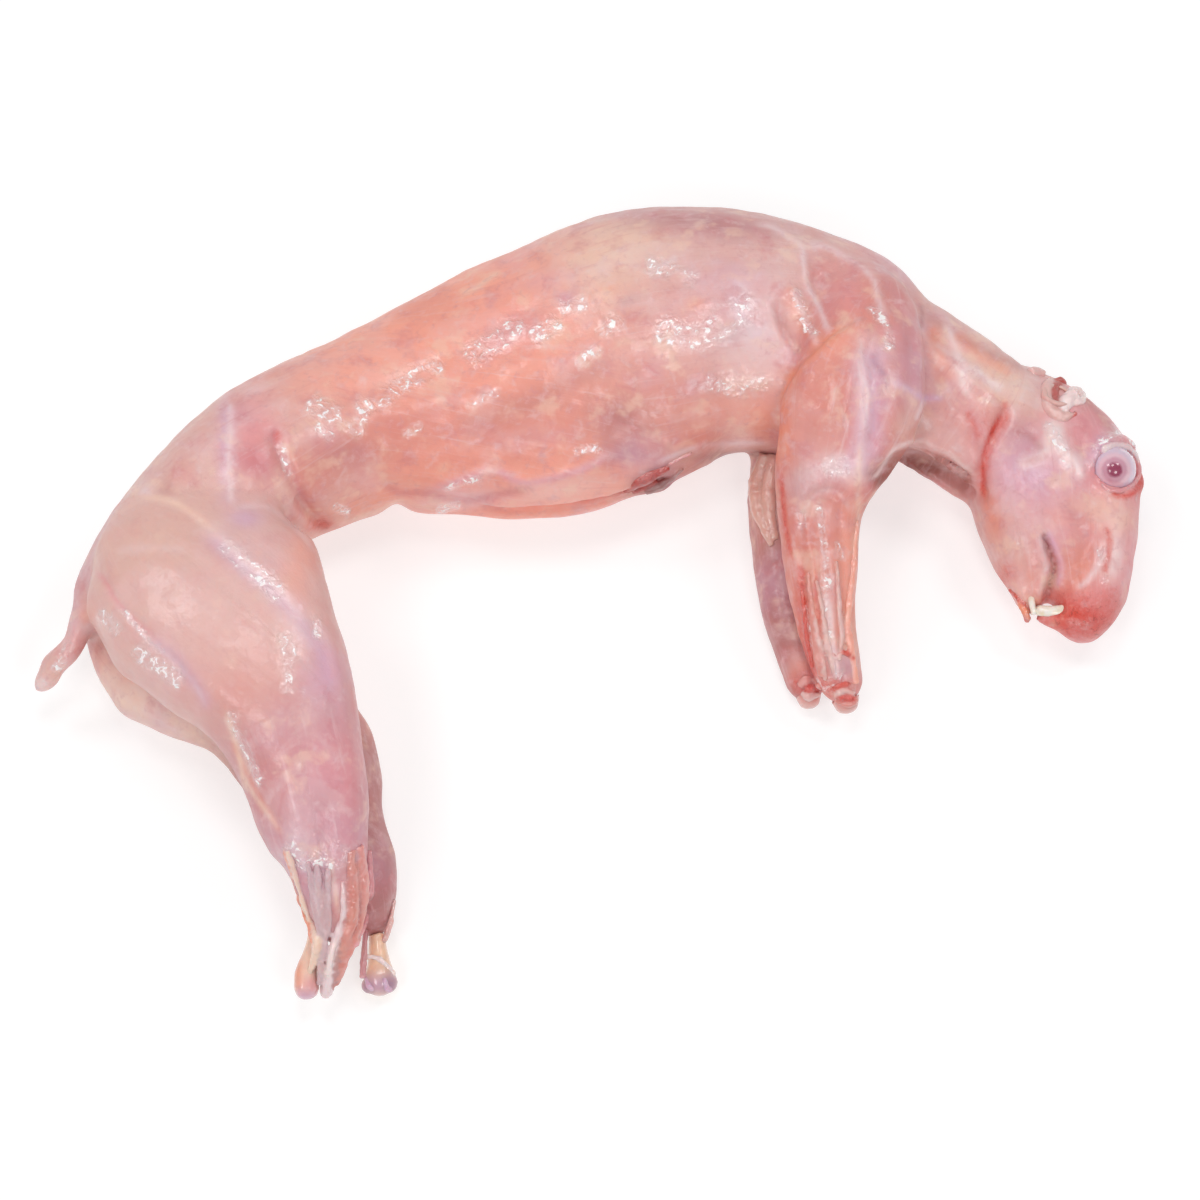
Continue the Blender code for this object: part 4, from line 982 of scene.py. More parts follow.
class Painted(Tinted):
    """A surface that takes patches, lines and folds by their place in the photograph."""

    def __init__(self, piece, sight, nodes, colours):
        super().__init__(piece, colours)
        self.sight = sight
        self.nodes = list(nodes)
        self.owner = nearest_nodes(self.points, self.nodes)
        self.shares = {}
        self.aim()

    def aim(self):
        """Take the pixels and facing anew after the points have moved."""
        self.pixels = self.sight.pixels(self.points)
        self.seen = smooth_step(self.sight.facing(self.points, self.normals), *SEEN)

    def share(self, nodes):
        """How far each point belongs to these nodes, soft at their edges."""
        if nodes not in self.shares:
            chosen = [self.nodes.index(n) for n in nodes if n in self.nodes]
            self.shares[nodes] = self.spread(np.isin(self.owner, chosen), EDGE_MELT)
        return self.shares[nodes]

    def ground(self, tones, rounds):
        """Give each sub-part its own tone, melted into its neighbours'."""
        base = np.array([self.tone(tones[node]) for node in self.nodes])
        self.tint = self.spread(base[self.owner], rounds)

    def patch(self, nodes, tone, strength, middle, radii, turn=0):
        """A soft oval of colour."""
        angle = math.radians(turn)
        away = self.pixels - np.array(middle)
        along = away[:, 0] * math.cos(angle) + away[:, 1] * math.sin(angle)
        across = away[:, 1] * math.cos(angle) - away[:, 0] * math.sin(angle)
        ragged = 1 + PATCH_WANDER * self.ragged
        far = ((along / radii[0]) ** 2 + (across / radii[1]) ** 2) * ragged
        self.blend(tone, strength * np.exp(-far * PATCH_FADE) * self.share(nodes) * self.seen)

    def near(self, nodes, points):
        """Signed distance in mm from a line, and how strongly a point takes part in it."""
        signed, along = from_line(self.pixels, points)
        ends = smooth_step(along, *LINE_END) * smooth_step(1 - along, *LINE_END)
        return signed / PIXELS_PER_MM, ends * self.share(nodes) * self.seen

    def tuck(self, nodes, shift, middle, radii, heights):
        """Move a soft oval of low points across and up, as the camera sees them."""
        away = (self.pixels - np.array(middle)) / np.array(radii)
        low = 1 - smooth_step(self.points[:, 2] / MM, *heights)
        amount = np.exp(-(away ** 2).sum(1)) * low * self.share(nodes) * MM
        way = np.array(self.sight.right) * shift[0] + np.array(self.sight.up) * shift[1]
        self.points = self.points + amount[:, None] * way

    def streak(self, nodes, tone, strength, width, points):
        """A soft line of colour."""
        distance, part = self.near(nodes, points)
        ragged = 1 + STREAK_WANDER * self.ragged
        self.blend(tone, strength * np.exp(-(distance / width) ** 2 * ragged) * part)

    def sparkle(self, nodes, width, points):
        """Make a line of the surface wrinkled and wet, where painted glints then go."""
        distance, part = self.near(nodes, points)
        ragged = 1 + SPARKLE_WANDER * self.ragged
        reach = np.exp(-(distance / width) ** 2 * ragged)
        self.gloss = np.maximum(self.gloss, reach * part * self.clusters)

    def fold(self, nodes, kind, height, width, points):
        """How far a ridge, a groove or a step lifts each point, in mm."""
        distance, part = self.near(nodes, points)
        bell = np.exp(-(distance / width) ** 2)
        if kind == "ridge":
            return height * bell * part
        if kind == "groove":
            return -height * bell * part
        steep, far = 0.5 * width, 3 * width
        rise = np.tanh(distance / steep) * np.exp(-(distance / far) ** 2)
        return 0.5 * height * rise * part


# Materials


# Noise patterns: scale, detail, roughness and distortion.
PATTERNS = {
    "clouds": (32, 3, 0.5, 0), "pools": (36, 3, 0.5, 0), "mottle": (105, 3, 0.55, 0),
    "threads": (330, 3, 0.6, 0.6), "wisps": (210, 4, 0.55, 0.3), "fibres": (1, 5, 0.62, 0),
    "cloth": (48, 5, 0.6, 0.6), "wrinkles": (430, 3, 0.55, 0.4), "clots": (620, 4, 0.65, 0.5),
    "ripples": (230, 3, 0.5, 0), "pores": (1300, 2, 0.6, 0), "dull spots": (180, 3, 0.55, 0),
    "bone specks": (500, 4, 0.6, 0), "bone ripples": (420, 3, 0.55, 0),
    "iris edge": (900, 2, 0.55, 0), "eye veins": (500, 4, 0.7, 1),
    "stains": (400, 4, 0.55, 0), "tooth lines": (1500, 2, 0.55, 0),
}
# Patterns whose coordinates wander: the scale of the wandering, and how far it goes in mm.
WANDERING = {"mottle": (120, 4), "cloth": (60, 6), "wrinkles": (260, 4)}
FLESH_PATTERNS = ("clouds", "pools", "mottle", "threads", "wisps", "cloth", "wrinkles", "clots",
                  "ripples", "pores", "dull spots")

# Ramps: the low and high end of a value, and what it becomes there.
RAMPS = {
    "mottled": (0.3, 0.5, 0.4, 1.0), "veil": (0.5, 0.62, 0.0, 0.26),
    # Three of these ramps whiten the crests of wet wrinkles with painted sheen and painted
    # glints.
    "glint_crests": (0.0, 0.7, -0.35, 0.02), "crest_sheen": (0.42, 0.6, 0.0, 0.34),
    "crest_glint": (0.585, 0.64, 0.0, 0.95), "soaked": (0.3, 0.5, 0.2, 0.8),
    "spotted": (0.54, 0.66, 0.0, 0.6), "folded": (0.0, 0.6, 0.05, 1.0),
    "moist": (0.1, 0.7, 0.0, 0.7), "specked": (0.35, 0.7, 0.0, 0.25),
    "iris edge": (0.2, 0.8, -1.2, 1.2), "veined": (0.6, 0.8, 0.0, 0.35),
    "stained": (0.35, 0.7, 0.0, 1.0),
}
# Tones that show through the flesh's tint: pattern, its low and high end, the shares there, and
# the tone.
MOTTLES = (
    ("clouds", 0.5, 0.75, 0.0, 0.36, "lilac"), ("pools", 0.25, 0.48, 0.42, 0.0, "salmon"),
    ("mottle", 0.52, 0.72, 0.0, 0.42, "deep_rose"), ("mottle", 0.28, 0.46, 0.42, 0.0, "cream"),
    ("threads", 0.54, 0.74, 0.0, 0.34, "mauve"), ("wisps", 0.52, 0.75, 0.0, 0.3, "film"),
    ("fibres", 0.54, 0.78, 0.0, 0.3, "film"), ("fibres", 0.22, 0.44, 0.34, 0.0, "deep_rose"),
)

# The flesh: where its dull spots begin and end and how they change its roughness, how rough it
# is where it is wet, the gloss at which its coat is whole, how much of the film's folds the
# flesh has, and how light sinks into it.
DULL_SPOTS = (0.3, 0.7)
DULL_CHANGE = (-0.08, 0.1)
WET_ROUGHNESS = 0.14
WHOLE_COAT = 0.5
FLESH_FOLD = 0.2
WET_SHINE = dict(Subsurface_Scale=0.003, Subsurface_Radius=(1.0, 0.35, 0.25), Coat_IOR=2.0,
                 Specular_IOR_Level=0.5)

# Bare pieces: roughness, coat and depth of the ripples in mm, the tone of their specks, and how
# light sinks into them.
BONE_FINISH = (0.35, 0.8, 0.1)
EAR_FINISH = (0.35, 0.9, 0.08)
SPECK_TONE = (0.62, 0.36, 0.34, 1)
BARE_SHINE = dict(Coat_Roughness=0.08, Subsurface_Weight=0.25, Subsurface_Scale=0.002,
                  Subsurface_Radius=(1.0, 0.5, 0.4))

# Eyeballs: how soft the edges of pupil, iris and rim are, in degrees, and the wet cornea.
PUPIL_EDGE = (-5, 4)
IRIS_EDGE = (-12, 0)
RIM_EDGE = (0, 14)
EYE_SHINE = dict(Roughness=0.25, Coat_Weight=1.0, Coat_Roughness=0.02, Subsurface_Weight=0.3,
                 Subsurface_Scale=0.002, Subsurface_Radius=(1.0, 0.5, 0.5))

# Teeth: the tones of enamel and root, the depth of the lines in mm, and the shine.
ENAMEL_TONE = (0.90, 0.84, 0.76, 1)
ROOT_TONE = (0.84, 0.70, 0.54, 1)
TOOTH_LINES = 0.03
TOOTH_SHINE = dict(Roughness=0.22, Coat_Weight=0.8, Coat_Roughness=0.05, Subsurface_Weight=0.2,
                   Subsurface_Scale=0.001)

# The floor's finish.
FLOOR_SHINE = dict(Base_Color=(0.5, 0.5, 0.5, 1), Roughness=0.8, Specular_IOR_Level=0.1,
                   Emission_Color=(1, 1, 1, 1))


class Web:
    """A material's nodes, and short ways to add to them."""

    def __init__(self, name):
        self.material = bpy.data.materials.new(name)
        self.material.use_nodes = True
        self.tree = self.material.node_tree
        self.shader = self.tree.nodes["Principled BSDF"]
        self.place = self.add("TexCoord").outputs["Object"]

    def put(self, value, socket):
        """Link an output to a socket, or set the socket's own value."""
        if isinstance(value, bpy.types.NodeSocket):
            self.tree.links.new(value, socket)
        else:
            socket.default_value = value

    def add(self, kind, settings=None, **inputs):
        """A node with some settings and inputs, named with underscores for spaces."""
        made = self.tree.nodes.new("ShaderNode" + kind)
        for key, value in (settings or {}).items():
            setattr(made, key, value)
        for key, value in inputs.items():
            self.put(value, made.inputs[key.replace("_", " ")])
        return made

    def attribute(self, name, output="Fac"):
        """What is stored in the mesh under a name."""
        return self.add("Attribute", {"attribute_name": name}).outputs[output]

    def pattern(self, name, place=None):
        """One of the noise patterns, on the object's own coordinates or on others."""
        place = self.place if place is None else place
        if name in WANDERING:
            place = self.warped(place, *WANDERING[name])
        scale, detail, roughness, distortion = PATTERNS[name]
        made = self.add("TexNoise", Vector=place, Scale=scale, Detail=detail,
                        Roughness=roughness, Distortion=distortion)
        return made.outputs["Fac"]

    def stretch(self, value, low, high, start=0.0, end=1.0):
        """A value's range from low to high, smoothly taken to the range start to end."""
        made = self.add("MapRange", {"interpolation_type": "SMOOTHSTEP"})
        for socket, number in zip(made.inputs, (value, low, high, start, end)):
            self.put(number, socket)
        return made.outputs["Result"]

    def ramp(self, name, value):
        """A value taken along one of the ramps."""
        return self.stretch(value, *RAMPS[name])

    def maths(self, kind, *values):
        """A sum, difference or product of two values."""
        made = self.add("Math", {"operation": kind})
        for socket, value in zip(made.inputs, values):
            self.put(value, socket)
        return made.outputs["Value"]

    def mix(self, share, first, second):
        """The first colour with a share of the second."""
        made = self.add("Mix", {"data_type": "RGBA"})
        self.put(share, made.inputs["Factor"])
        self.put(first, made.inputs[6])
        self.put(second, made.inputs[7])
        return made.outputs[2]

    def warped(self, place, scale, reach):
        """Coordinates that wander by so many millimetres."""
        shift = self.add("TexNoise", Vector=place, Scale=scale, Detail=2.0).outputs["Color"]
        centred = self.add("VectorMath", {"operation": "SUBTRACT"}).outputs["Vector"]
        self.put(shift, centred.node.inputs[0])
        self.put((0.5, 0.5, 0.5), centred.node.inputs[1])
        moved = self.add("VectorMath", {"operation": "MULTIPLY_ADD"}).outputs["Vector"]
        for socket, value in zip(moved.node.inputs, (centred, (reach * MM,) * 3, place)):
            self.put(value, socket)
        return moved

    def bump(self, height, depth, under=None):
        """The normal of a surface with this height, so many millimetres deep."""
        made = self.add("Bump", Strength=1.0, Distance=depth * MM, Height=height)
        if under is not None:
            self.put(under, made.inputs["Normal"])
        return made.outputs["Normal"]

    def finish(self, **values):
        """Set the shader's sockets, named with underscores for spaces."""
        for key, value in values.items():
            self.put(value, self.shader.inputs[key.replace("_", " ")])
        return self.material


def flat(colour):
    """A colour of the settings as a socket takes it."""
    return (*linear(colour), 1.0)


def mottled_muscle(web, marks, sheets, colours):
    """The painted tint, with the tones of muscle that show through it."""
    strength = web.ramp("mottled", sheets)
    shade = web.attribute("tint", "Color")
    for mark, low, high, start, end, tone in MOTTLES:
        part = web.stretch(marks[mark], low, high, start, end)
        part = web.maths("MULTIPLY", part, strength)
        shade = web.mix(part, shade, flat(getattr(colours, tone)))
    return shade


def flesh_relief(web, marks, veil, blood, wet):
    """The bumps of the flesh, without the folds of its film."""
    clumps = web.maths("MULTIPLY", web.maths("SUBTRACT", marks["clots"], 0.5), blood)
    normal = None
    for height, depth in ((marks["ripples"], wet.ripple), (marks["mottle"], wet.ripple),
                          (marks["fibres"], wet.strand), (veil, wet.sheet),
                          (clumps, wet.clot), (marks["pores"], wet.pore)):
        normal = web.bump(height, depth, normal)
    return normal


def flesh_roughness(web, marks, gloss, wet):
    """Dull and smoother spots, and wet places."""
    dull = web.stretch(marks["dull spots"], *DULL_SPOTS,
                       *(wet.roughness + change for change in DULL_CHANGE))
    moist = web.ramp("moist", gloss)
    return web.maths("ADD", web.maths("MULTIPLY", dull, web.maths("SUBTRACT", 1.0, moist)),
                     web.maths("MULTIPLY", moist, WET_ROUGHNESS))


def flesh_material(name, colours, wet):
    """Muscle under a wet, half clear membrane, with painted glints and sheen on its wet crests.
    """
    web = Web(name)
    gloss, sheets, blood = (web.attribute(kind) for kind in ("gloss", "sheets", "blood"))
    marks = {kind: web.pattern(kind) for kind in FLESH_PATTERNS}
    marks["fibres"] = web.pattern("fibres", web.attribute("grain", "Color"))
    veil = web.maths("MULTIPLY", web.ramp("veil", marks["cloth"]), sheets)
    glint_crests = web.maths("ADD", marks["wrinkles"], web.ramp("glint_crests", gloss))
    soaked, spotted = (web.maths("MULTIPLY", web.ramp(kind, marks["clots"]), blood)
                       for kind in ("soaked", "spotted"))
    shade = mottled_muscle(web, marks, sheets, colours)
    # On the crests of wet wrinkles, the film tone is a painted sheen and the near-white tone a
    # painted glint.
    for part, tone in ((veil, "film"), (web.ramp("crest_sheen", glint_crests), "film"),
                       (web.ramp("crest_glint", glint_crests), "glint"), (soaked, "blood"),
                       (spotted, "gore")):
        shade = web.mix(part, shade, flat(getattr(colours, tone)))
    crests = web.maths("SUBTRACT", marks["wrinkles"], 0.5)
    folds = web.maths("MULTIPLY", crests, web.ramp("folded", gloss))
    relief = flesh_relief(web, marks, veil, blood, wet)
    return web.finish(
        Base_Color=shade, Roughness=flesh_roughness(web, marks, gloss, wet),
        Normal=web.bump(folds, wet.wrinkle * FLESH_FOLD, relief),
        Coat_Normal=web.bump(folds, wet.wrinkle, relief),
        Coat_Weight=web.stretch(gloss, 0.0, WHOLE_COAT, wet.coat, 1.0),
        Coat_Roughness=wet.coat_roughness, Subsurface_Weight=wet.depth, **WET_SHINE)


def painted_material(name, finish):
    """A bare bone, tendon or cartilage that shows its painted tint."""
    roughness, coat, ripple = finish
    web = Web(name)
    specks = web.ramp("specked", web.pattern("bone specks"))
    shade = web.mix(specks, web.attribute("tint", "Color"), SPECK_TONE)
    lifted = web.bump(web.pattern("bone ripples"), ripple)
    return web.finish(Base_Color=shade, Roughness=roughness, Normal=lifted, Coat_Normal=lifted,
                      Coat_Weight=coat, **BARE_SHINE)


# Settings


def shown_colour(name, description, red, green, blue):
    """A colour as a screen shows it."""
    return bpy.props.FloatVectorProperty(
        name=name, description=description, subtype="COLOR_GAMMA", size=3, min=0, max=1,
        default=(red / 255, green / 255, blue / 255))


def millimetres(name, description, default, **limits):
    """A small size in millimetres."""
    return bpy.props.FloatProperty(
        name=name, description=description + ", in mm", default=default, **limits)


def degrees(name, description, default, low, high):
    """An angle in degrees."""
    return bpy.props.FloatProperty(
        name=name, description=description + ", in degrees", default=default, min=low, max=high)


def proportion(name, description, default, low=0):
    """A number from 0 to 1."""
    return bpy.props.FloatProperty(
        name=name, description=description, subtype="FACTOR", default=default, min=low, max=1)


def metres(name, description, default, low):
    """A length in metres."""
    return bpy.props.FloatProperty(
        name=name, description=description, subtype="DISTANCE", unit="LENGTH",
        default=default, min=low)


def light_amount(name, description, default):
    """How strong a light is."""
    return bpy.props.FloatProperty(name=name, description=description, default=default, min=0)


class RABBIT_PG_colours(bpy.types.PropertyGroup):
    """The tones of the flesh, as a screen shows them."""

    peach: shown_colour("Peach", "Loin muscle near the back", 246, 166, 146)
    salmon: shown_colour("Salmon", "Bare muscle of the flank and limbs", 220, 138, 126)
    rose: shown_colour("Rose", "Muscle under clear membrane", 229, 152, 156)
    deep_rose: shown_colour("Deep rose", "Muscle in creases", 206, 120, 126)
    pale: shown_colour("Pale", "Muscle under thick membrane", 226, 180, 173)
    beige: shown_colour("Beige", "Pale muscle of the haunch", 224, 178, 164)
    cream: shown_colour("Cream", "Fat and fascia edges", 244, 208, 186)
    film: shown_colour("Film", "White fascia", 238, 212, 214)
    lilac: shown_colour("Lilac", "Blue-white membrane over muscle", 214, 170, 196)
    mauve: shown_colour("Mauve", "Membrane over darker muscle", 204, 142, 148)
    plum: shown_colour("Plum", "Muscle that lies in the shade", 182, 118, 116)
    # The throat tone: dark red tissue inside the throat and chest, darkened further as painted
    # shade in these hollows.
    throat: shown_colour("Throat", "Inside of the throat and chest", 146, 86, 78)
    bruise: shown_colour("Bruise", "Dark muscle of the midriff", 184, 114, 114)
    violet: shown_colour("Violet", "Blue cartilage of the joints", 166, 124, 146)
    grey: shown_colour("Grey", "Blue-grey membrane", 206, 172, 176)
    blood: shown_colour("Blood", "Blood in creases and cut ends", 216, 62, 40)
    orange: shown_colour("Orange", "Edges of muscle", 240, 144, 110)
    gore: shown_colour("Gore", "Dark red scraps and openings", 138, 40, 32)
    muscle: shown_colour("Muscle", "Bare red-brown muscle", 212, 128, 114)
    white: shown_colour("White", "Tendon and cartilage", 246, 222, 220)
    # Painted glints: near white, mixed into the crests of the wet wrinkles.
    glint: shown_colour("Froth", "Crests of the wet membrane", 255, 246, 246)
    bone: shown_colour("Bone", "Bare shin bone", 244, 202, 170)


class RABBIT_PG_skin(bpy.types.PropertyGroup):
    """Sizes and wetness of the flesh."""

    voxel: millimetres("Voxel", "Size of the skin's faces", 1.18, min=0.8)
    under_share: proportion(
        "Underside", "Share of the faces kept on the side that is down", 0.25, 0.05)
    swell: millimetres("Swell", "How far sub-parts grow to meet", 0.25)
    ripple: millimetres("Ripple", "Depth of the small ripples", 0.25)
    strand: millimetres("Strand", "Depth of the muscle strands", 0.08)
    wrinkle: millimetres("Wrinkle", "Depth of the wet wrinkles", 1.5)
    crumple: millimetres("Crumple", "Height of the folds in the wrinkled membrane", 0.45)
    clot: millimetres("Clot", "Height of the clots of blood", 0.8)
    # The strands' gloss also brings painted sheen to the crests of their wrinkles.
    strand_gloss: proportion("Strand gloss", "How wet and wrinkled the strands are", 0.3)
    sheet: millimetres("Sheet", "Thickness of the thin white sheets", 0.3)
    pore: millimetres("Pore", "Depth of the finest grain", 0.03)
    roughness: proportion("Roughness", "Roughness of the flesh under its wet coat", 0.45)
    coat: proportion("Coat", "Share of the surface that is wet", 0.1)
    coat_roughness: proportion("Coat roughness", "Roughness of the wet film", 0.1)
    depth: proportion("Depth", "Share of the light that sinks into the flesh", 0.25)


class RABBIT_PG_stage(bpy.types.PropertyGroup):
    """The camera, the floor and the lights."""

    distance: metres("Distance", "From the camera to the middle of the picture", 1.1, 0.5)
    floor_width: metres("Floor width", "Side of the white floor", 4.0, 1)
    floor_glow: light_amount("Floor glow", "Light that comes through the floor", 0.57)
    ambient: light_amount("Ambient", "Strength of the white surroundings", 0.42)
    box_power: light_amount("Soft box power", "Power of each soft box in watts", 2.05)
    box_width: metres("Soft box width", "Width of each soft box", 0.34, 0.01)


class RABBIT_PG_eyes(bpy.types.PropertyGroup):
    """Sizes and tones of the eyeballs."""

    pupil: degrees("Pupil", "Angle from the gaze to the pupil's edge", 17, 5, 30)
    iris: degrees("Iris", "Angle from the gaze to the iris's edge", 37, 20, 60)
    bulge: millimetres("Bulge", "How far the cornea stands out", 0.7, min=0)
    pupil_tone: shown_colour("Pupil", "Blood-lit pupil", 152, 54, 88)
    iris_tone: shown_colour("Iris", "Pale iris", 210, 154, 172)
    rim_tone: shown_colour("Rim", "Edge of the iris", 232, 192, 204)
    white_tone: shown_colour("White", "White of the eye", 222, 196, 214)


class RABBIT_PG_settings(bpy.types.PropertyGroup):
    """All that a user would change."""

    colours: bpy.props.PointerProperty(type=RABBIT_PG_colours)
    skin: bpy.props.PointerProperty(type=RABBIT_PG_skin)
    eyes: bpy.props.PointerProperty(type=RABBIT_PG_eyes)
    stage: bpy.props.PointerProperty(type=RABBIT_PG_stage)


def sight_of(context):
    """The photograph's camera, at the distance of the settings."""
    return Sight(context.scene.rabbit.stage.distance)


# Flesh


def fibres(along, across, owner, size):
    """Coordinates that run slowly along a form and fast across it, anew for each owner."""
    length, width = size
    return np.column_stack([along / (length * MM), across / (width * MM), owner * FIBRE_STEP])


def muscle_fibres(body):
    """The fibres that run along each sub-part's longest axis."""
    along = np.zeros(len(body.points))
    around = np.zeros(len(body.points))
    for index, node in enumerate(body.nodes):
        corners = np.array([v.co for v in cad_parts[node].data.vertices])
        middle = corners.mean(0)
        axis = np.linalg.svd(corners - middle, full_matrices=False)[2][0]
        side = np.cross(axis, (0, 0, 1))
        side /= np.linalg.norm(side)
        top = np.cross(axis, side)
        own = body.owner == index
        away = body.points[own] - middle
        radius = np.hypot(corners @ side - middle @ side, corners @ top - middle @ top).mean()
        along[own] = away @ axis
        around[own] = np.arctan2(away @ side, away @ top) * radius
    return fibres(along, around, body.owner, MUSCLE_FIBRE)


def thin_underside(piece, share):
    """Keep only a share of the faces on the side that lies down."""
    body = Surface(piece)
    below = body.normals[:, 2] < UNDERSIDE
    select_only(piece)
    bpy.ops.object.mode_set(mode="EDIT")
    bpy.ops.mesh.select_mode(type="VERT")
    bpy.ops.mesh.select_all(action="DESELECT")
    bpy.ops.object.mode_set(mode="OBJECT")
    piece.data.vertices.foreach_set("select", below)
    bpy.ops.object.mode_set(mode="EDIT")
    bpy.ops.mesh.decimate(ratio=share)
    bpy.ops.object.mode_set(mode="OBJECT")


def shape_flesh(context):
    """The muscles as one closed surface, smoothed, and tucked in where the solids are full."""
    settings = context.scene.rabbit
    piece = melted("flesh_skin", FLESH_NODES, settings.skin.voxel, settings.skin.swell)
    body = Painted(piece, sight_of(context), FLESH_NODES, settings.colours)
    rounds, step, keep_bulk = FLESH_RELAX
    step = step - HEAD_FIRMNESS * body.share(SKULL) - LIMB_FIRMNESS * body.share(THIN)
    body.relax(rounds, step, keep_bulk)
    body.aim()
    for entry in TUCKS:
        body.tuck(*entry)
    body.write()
    thin_underside(piece, settings.skin.under_share)
    return piece


def fold_flesh(body, grain, crumple):
    """Raise the lumps, bundles, crumples and folds of the flesh."""
    bundles = np.array([noise.noise(Vector(g)) for g in grain * BUNDLE_SCALE])
    lift = lumps(body.points, FLESH_LUMPS) + BUNDLE_HEIGHT * body.spread(bundles, BUNDLE_MELT)
    lift += crumple * body.gloss * lumps(body.points, CRUMPLES)
    for entry in FOLDS:
        lift += body.fold(*entry)
    body.push(lift)
    body.relax(*SETTLE_RELAX)
    body.aim()


def make_skin(context):
    """The flesh as one closed surface, with its folds and colours."""
    settings = context.scene.rabbit
    piece = shape_flesh(context)
    body = Painted(piece, sight_of(context), FLESH_NODES, settings.colours)
    for entry in SPARKLES:
        body.sparkle(*entry)
    grain = muscle_fibres(body)
    fold_flesh(body, grain, settings.skin.crumple)
    body.ground(GROUND_TONE, GROUND_MELT)
    for entry in PATCHES:
        body.patch(*entry)
    for entry in STREAKS:
        body.streak(*entry)
    sheets = np.array([SHEET_SHARE[node] for node in body.nodes])
    body.keep(grain, body.spread(sheets[body.owner], SHEET_MELT))
    material = flesh_material("wet flesh", settings.colours, settings.skin)
    finish_piece(piece, material, "flesh", *FLESH_NODES)


class RABBIT_OT_skin(bpy.types.Operator):
    """Cover the muscles with one wet skin of flesh"""

    bl_idname = "rabbit.skin"
    bl_label = "Flesh"

    def execute(self, context):
        make_skin(context)
        return {"FINISHED"}


# Bare pieces


# The tone of each bone and tendon end, and the soft patches on them.
BARE_TONES = {
    "shin_bone_right": "cream", "shin_bone_left": "bone", "foot_tendon_right": "film",
    "wrist_bone_right": "pale", "wrist_bone_left": "pale",
}
BARE_PATCHES = {
    "shin_bone_right": [("orange", 0.7, (297, 975), (6, 20)),
                        ("rose", 0.8, (311, 985), (9, 10)),
                        ("lilac", 0.9, (306, 998), (14, 7))],
    "shin_bone_left": [("lilac", 0.9, (379, 985), (24, 10)),
                       ("violet", 0.9, (366, 992), (9, 12)),
                       ("violet", 0.9, (391, 985), (9, 12)),
                       ("white", 0.9, (372, 1003), (5, 5)),
                       ("white", 0.9, (388, 1003), (5, 5))],
    "foot_tendon_right": [("film", 0.6, (335, 940), (8, 40))],
    "wrist_bone_right": [("blood", 0.85, (845, 697), (12, 9)),
                         ("lilac", 0.5, (848, 680), (10, 8))],
    "wrist_bone_left": [("blood", 0.8, (812, 692), (14, 9))],
}


def make_bare_piece(context, node):
    """A bone or tendon end, rounded off and painted."""
    settings = context.scene.rabbit
    piece = melted(node + "_piece", [node], *BONE_MELT)
    body = Painted(piece, sight_of(context), [node], settings.colours)
    body.relax(*BONE_RELAX)
    body.push(lumps(body.points, BONE_LUMPS))
    body.aim()
    body.ground(BARE_TONES, 0)
    for entry in BARE_PATCHES[node]:
        body.patch((node,), *entry)
    body.store("tint", body.tint)
    kind = "bone" if "bone" in node else "tendon"
    finish_piece(piece, painted_material(node + " finish", BONE_FINISH), kind, node)


class RABBIT_OT_bones(bpy.types.Operator):
    """Round off and colour the bare bones and tendons at the leg ends"""

    bl_idname = "rabbit.bones"
    bl_label = "Bones and tendons"

    def execute(self, context):
        for node in BARE_TONES:
            make_bare_piece(context, node)
        return {"FINISHED"}


# Strands and scraps


def standing_trees():
    """Search trees of the flesh and the bare pieces."""
    graph = bpy.context.evaluated_depsgraph_get()
    names = ["flesh_skin", *(node + "_piece" for node in BARE_TONES)]
    return [BVHTree.FromObject(bpy.data.objects[name], graph) for name in names]


def landing(sight, trees, pixel, radius):
    """Where the line of sight through a pixel meets the model, if it does."""
    start, way = sight.line(pixel)
    hits = [tree.ray_cast(start, way) for tree in trees]
    hits = [hit for hit in hits if hit[0] is not None]
    if not hits:
        return None
    nearest = min(hits, key=lambda hit: hit[3])
    return nearest[0] - way * radius * STRAND_SINK


def at_height(sight, pixel, height):
    """Where the line of sight through a pixel passes a height over the floor."""
    start, way = sight.line(pixel)
    return start + way * ((height - start.z) / way.z)


def strand_path(sight, trees, points):
    """A strand's centres in metres and half widths in millimetres, one row each."""
    spots = []
    for across, down, radius, *height in points:
        if height:
            spots.append(at_height(sight, (across, down), height[0] * MM))
        else:
            spots.append(landing(sight, trees, (across, down), radius * MM))
    known = [index for index, spot in enumerate(spots) if spot is not None]
    rows = []
    for index, (point, spot) in enumerate(zip(points, spots)):
        if spot is None:
            neighbour = min(known, key=lambda other: abs(other - index))
            spot = at_height(sight, point[:2], spots[neighbour].z)
        rows.append((*spot, point[2]))
    return smooth_line(rows)


def make_tube(path):
    """A closed round tube along a path."""
    bpy.ops.curve.primitive_nurbs_path_add()
    curve = bpy.context.object
    spline = curve.data.splines[0]
    spline.points.add(len(path) - len(spline.points))
    for point, (x, y, z, radius) in zip(spline.points, path):
        point.co = (x, y, z, 1)
        point.radius = radius
    spline.order_u = 3
    spline.use_endpoint_u = True
    curve.data.bevel_depth = MM
    curve.data.bevel_resolution = 3
    curve.data.use_fill_caps = True
    select_only(curve)
    bpy.ops.object.convert(target="MESH")
    return bpy.context.object


def melted_tubes(name, paths):
    """Tubes along the paths, melted into one closed piece."""
    tubes = [make_tube(path) for path in paths]
    select_only(*tubes)
    if len(tubes) > 1:
        bpy.ops.object.join()
    piece = bpy.context.object
    piece.name = name
    piece.data.name = name
    apply_modifier(piece, "melt", "REMESH", mode="VOXEL", voxel_size=STRAND_VOXEL * MM)
    return piece


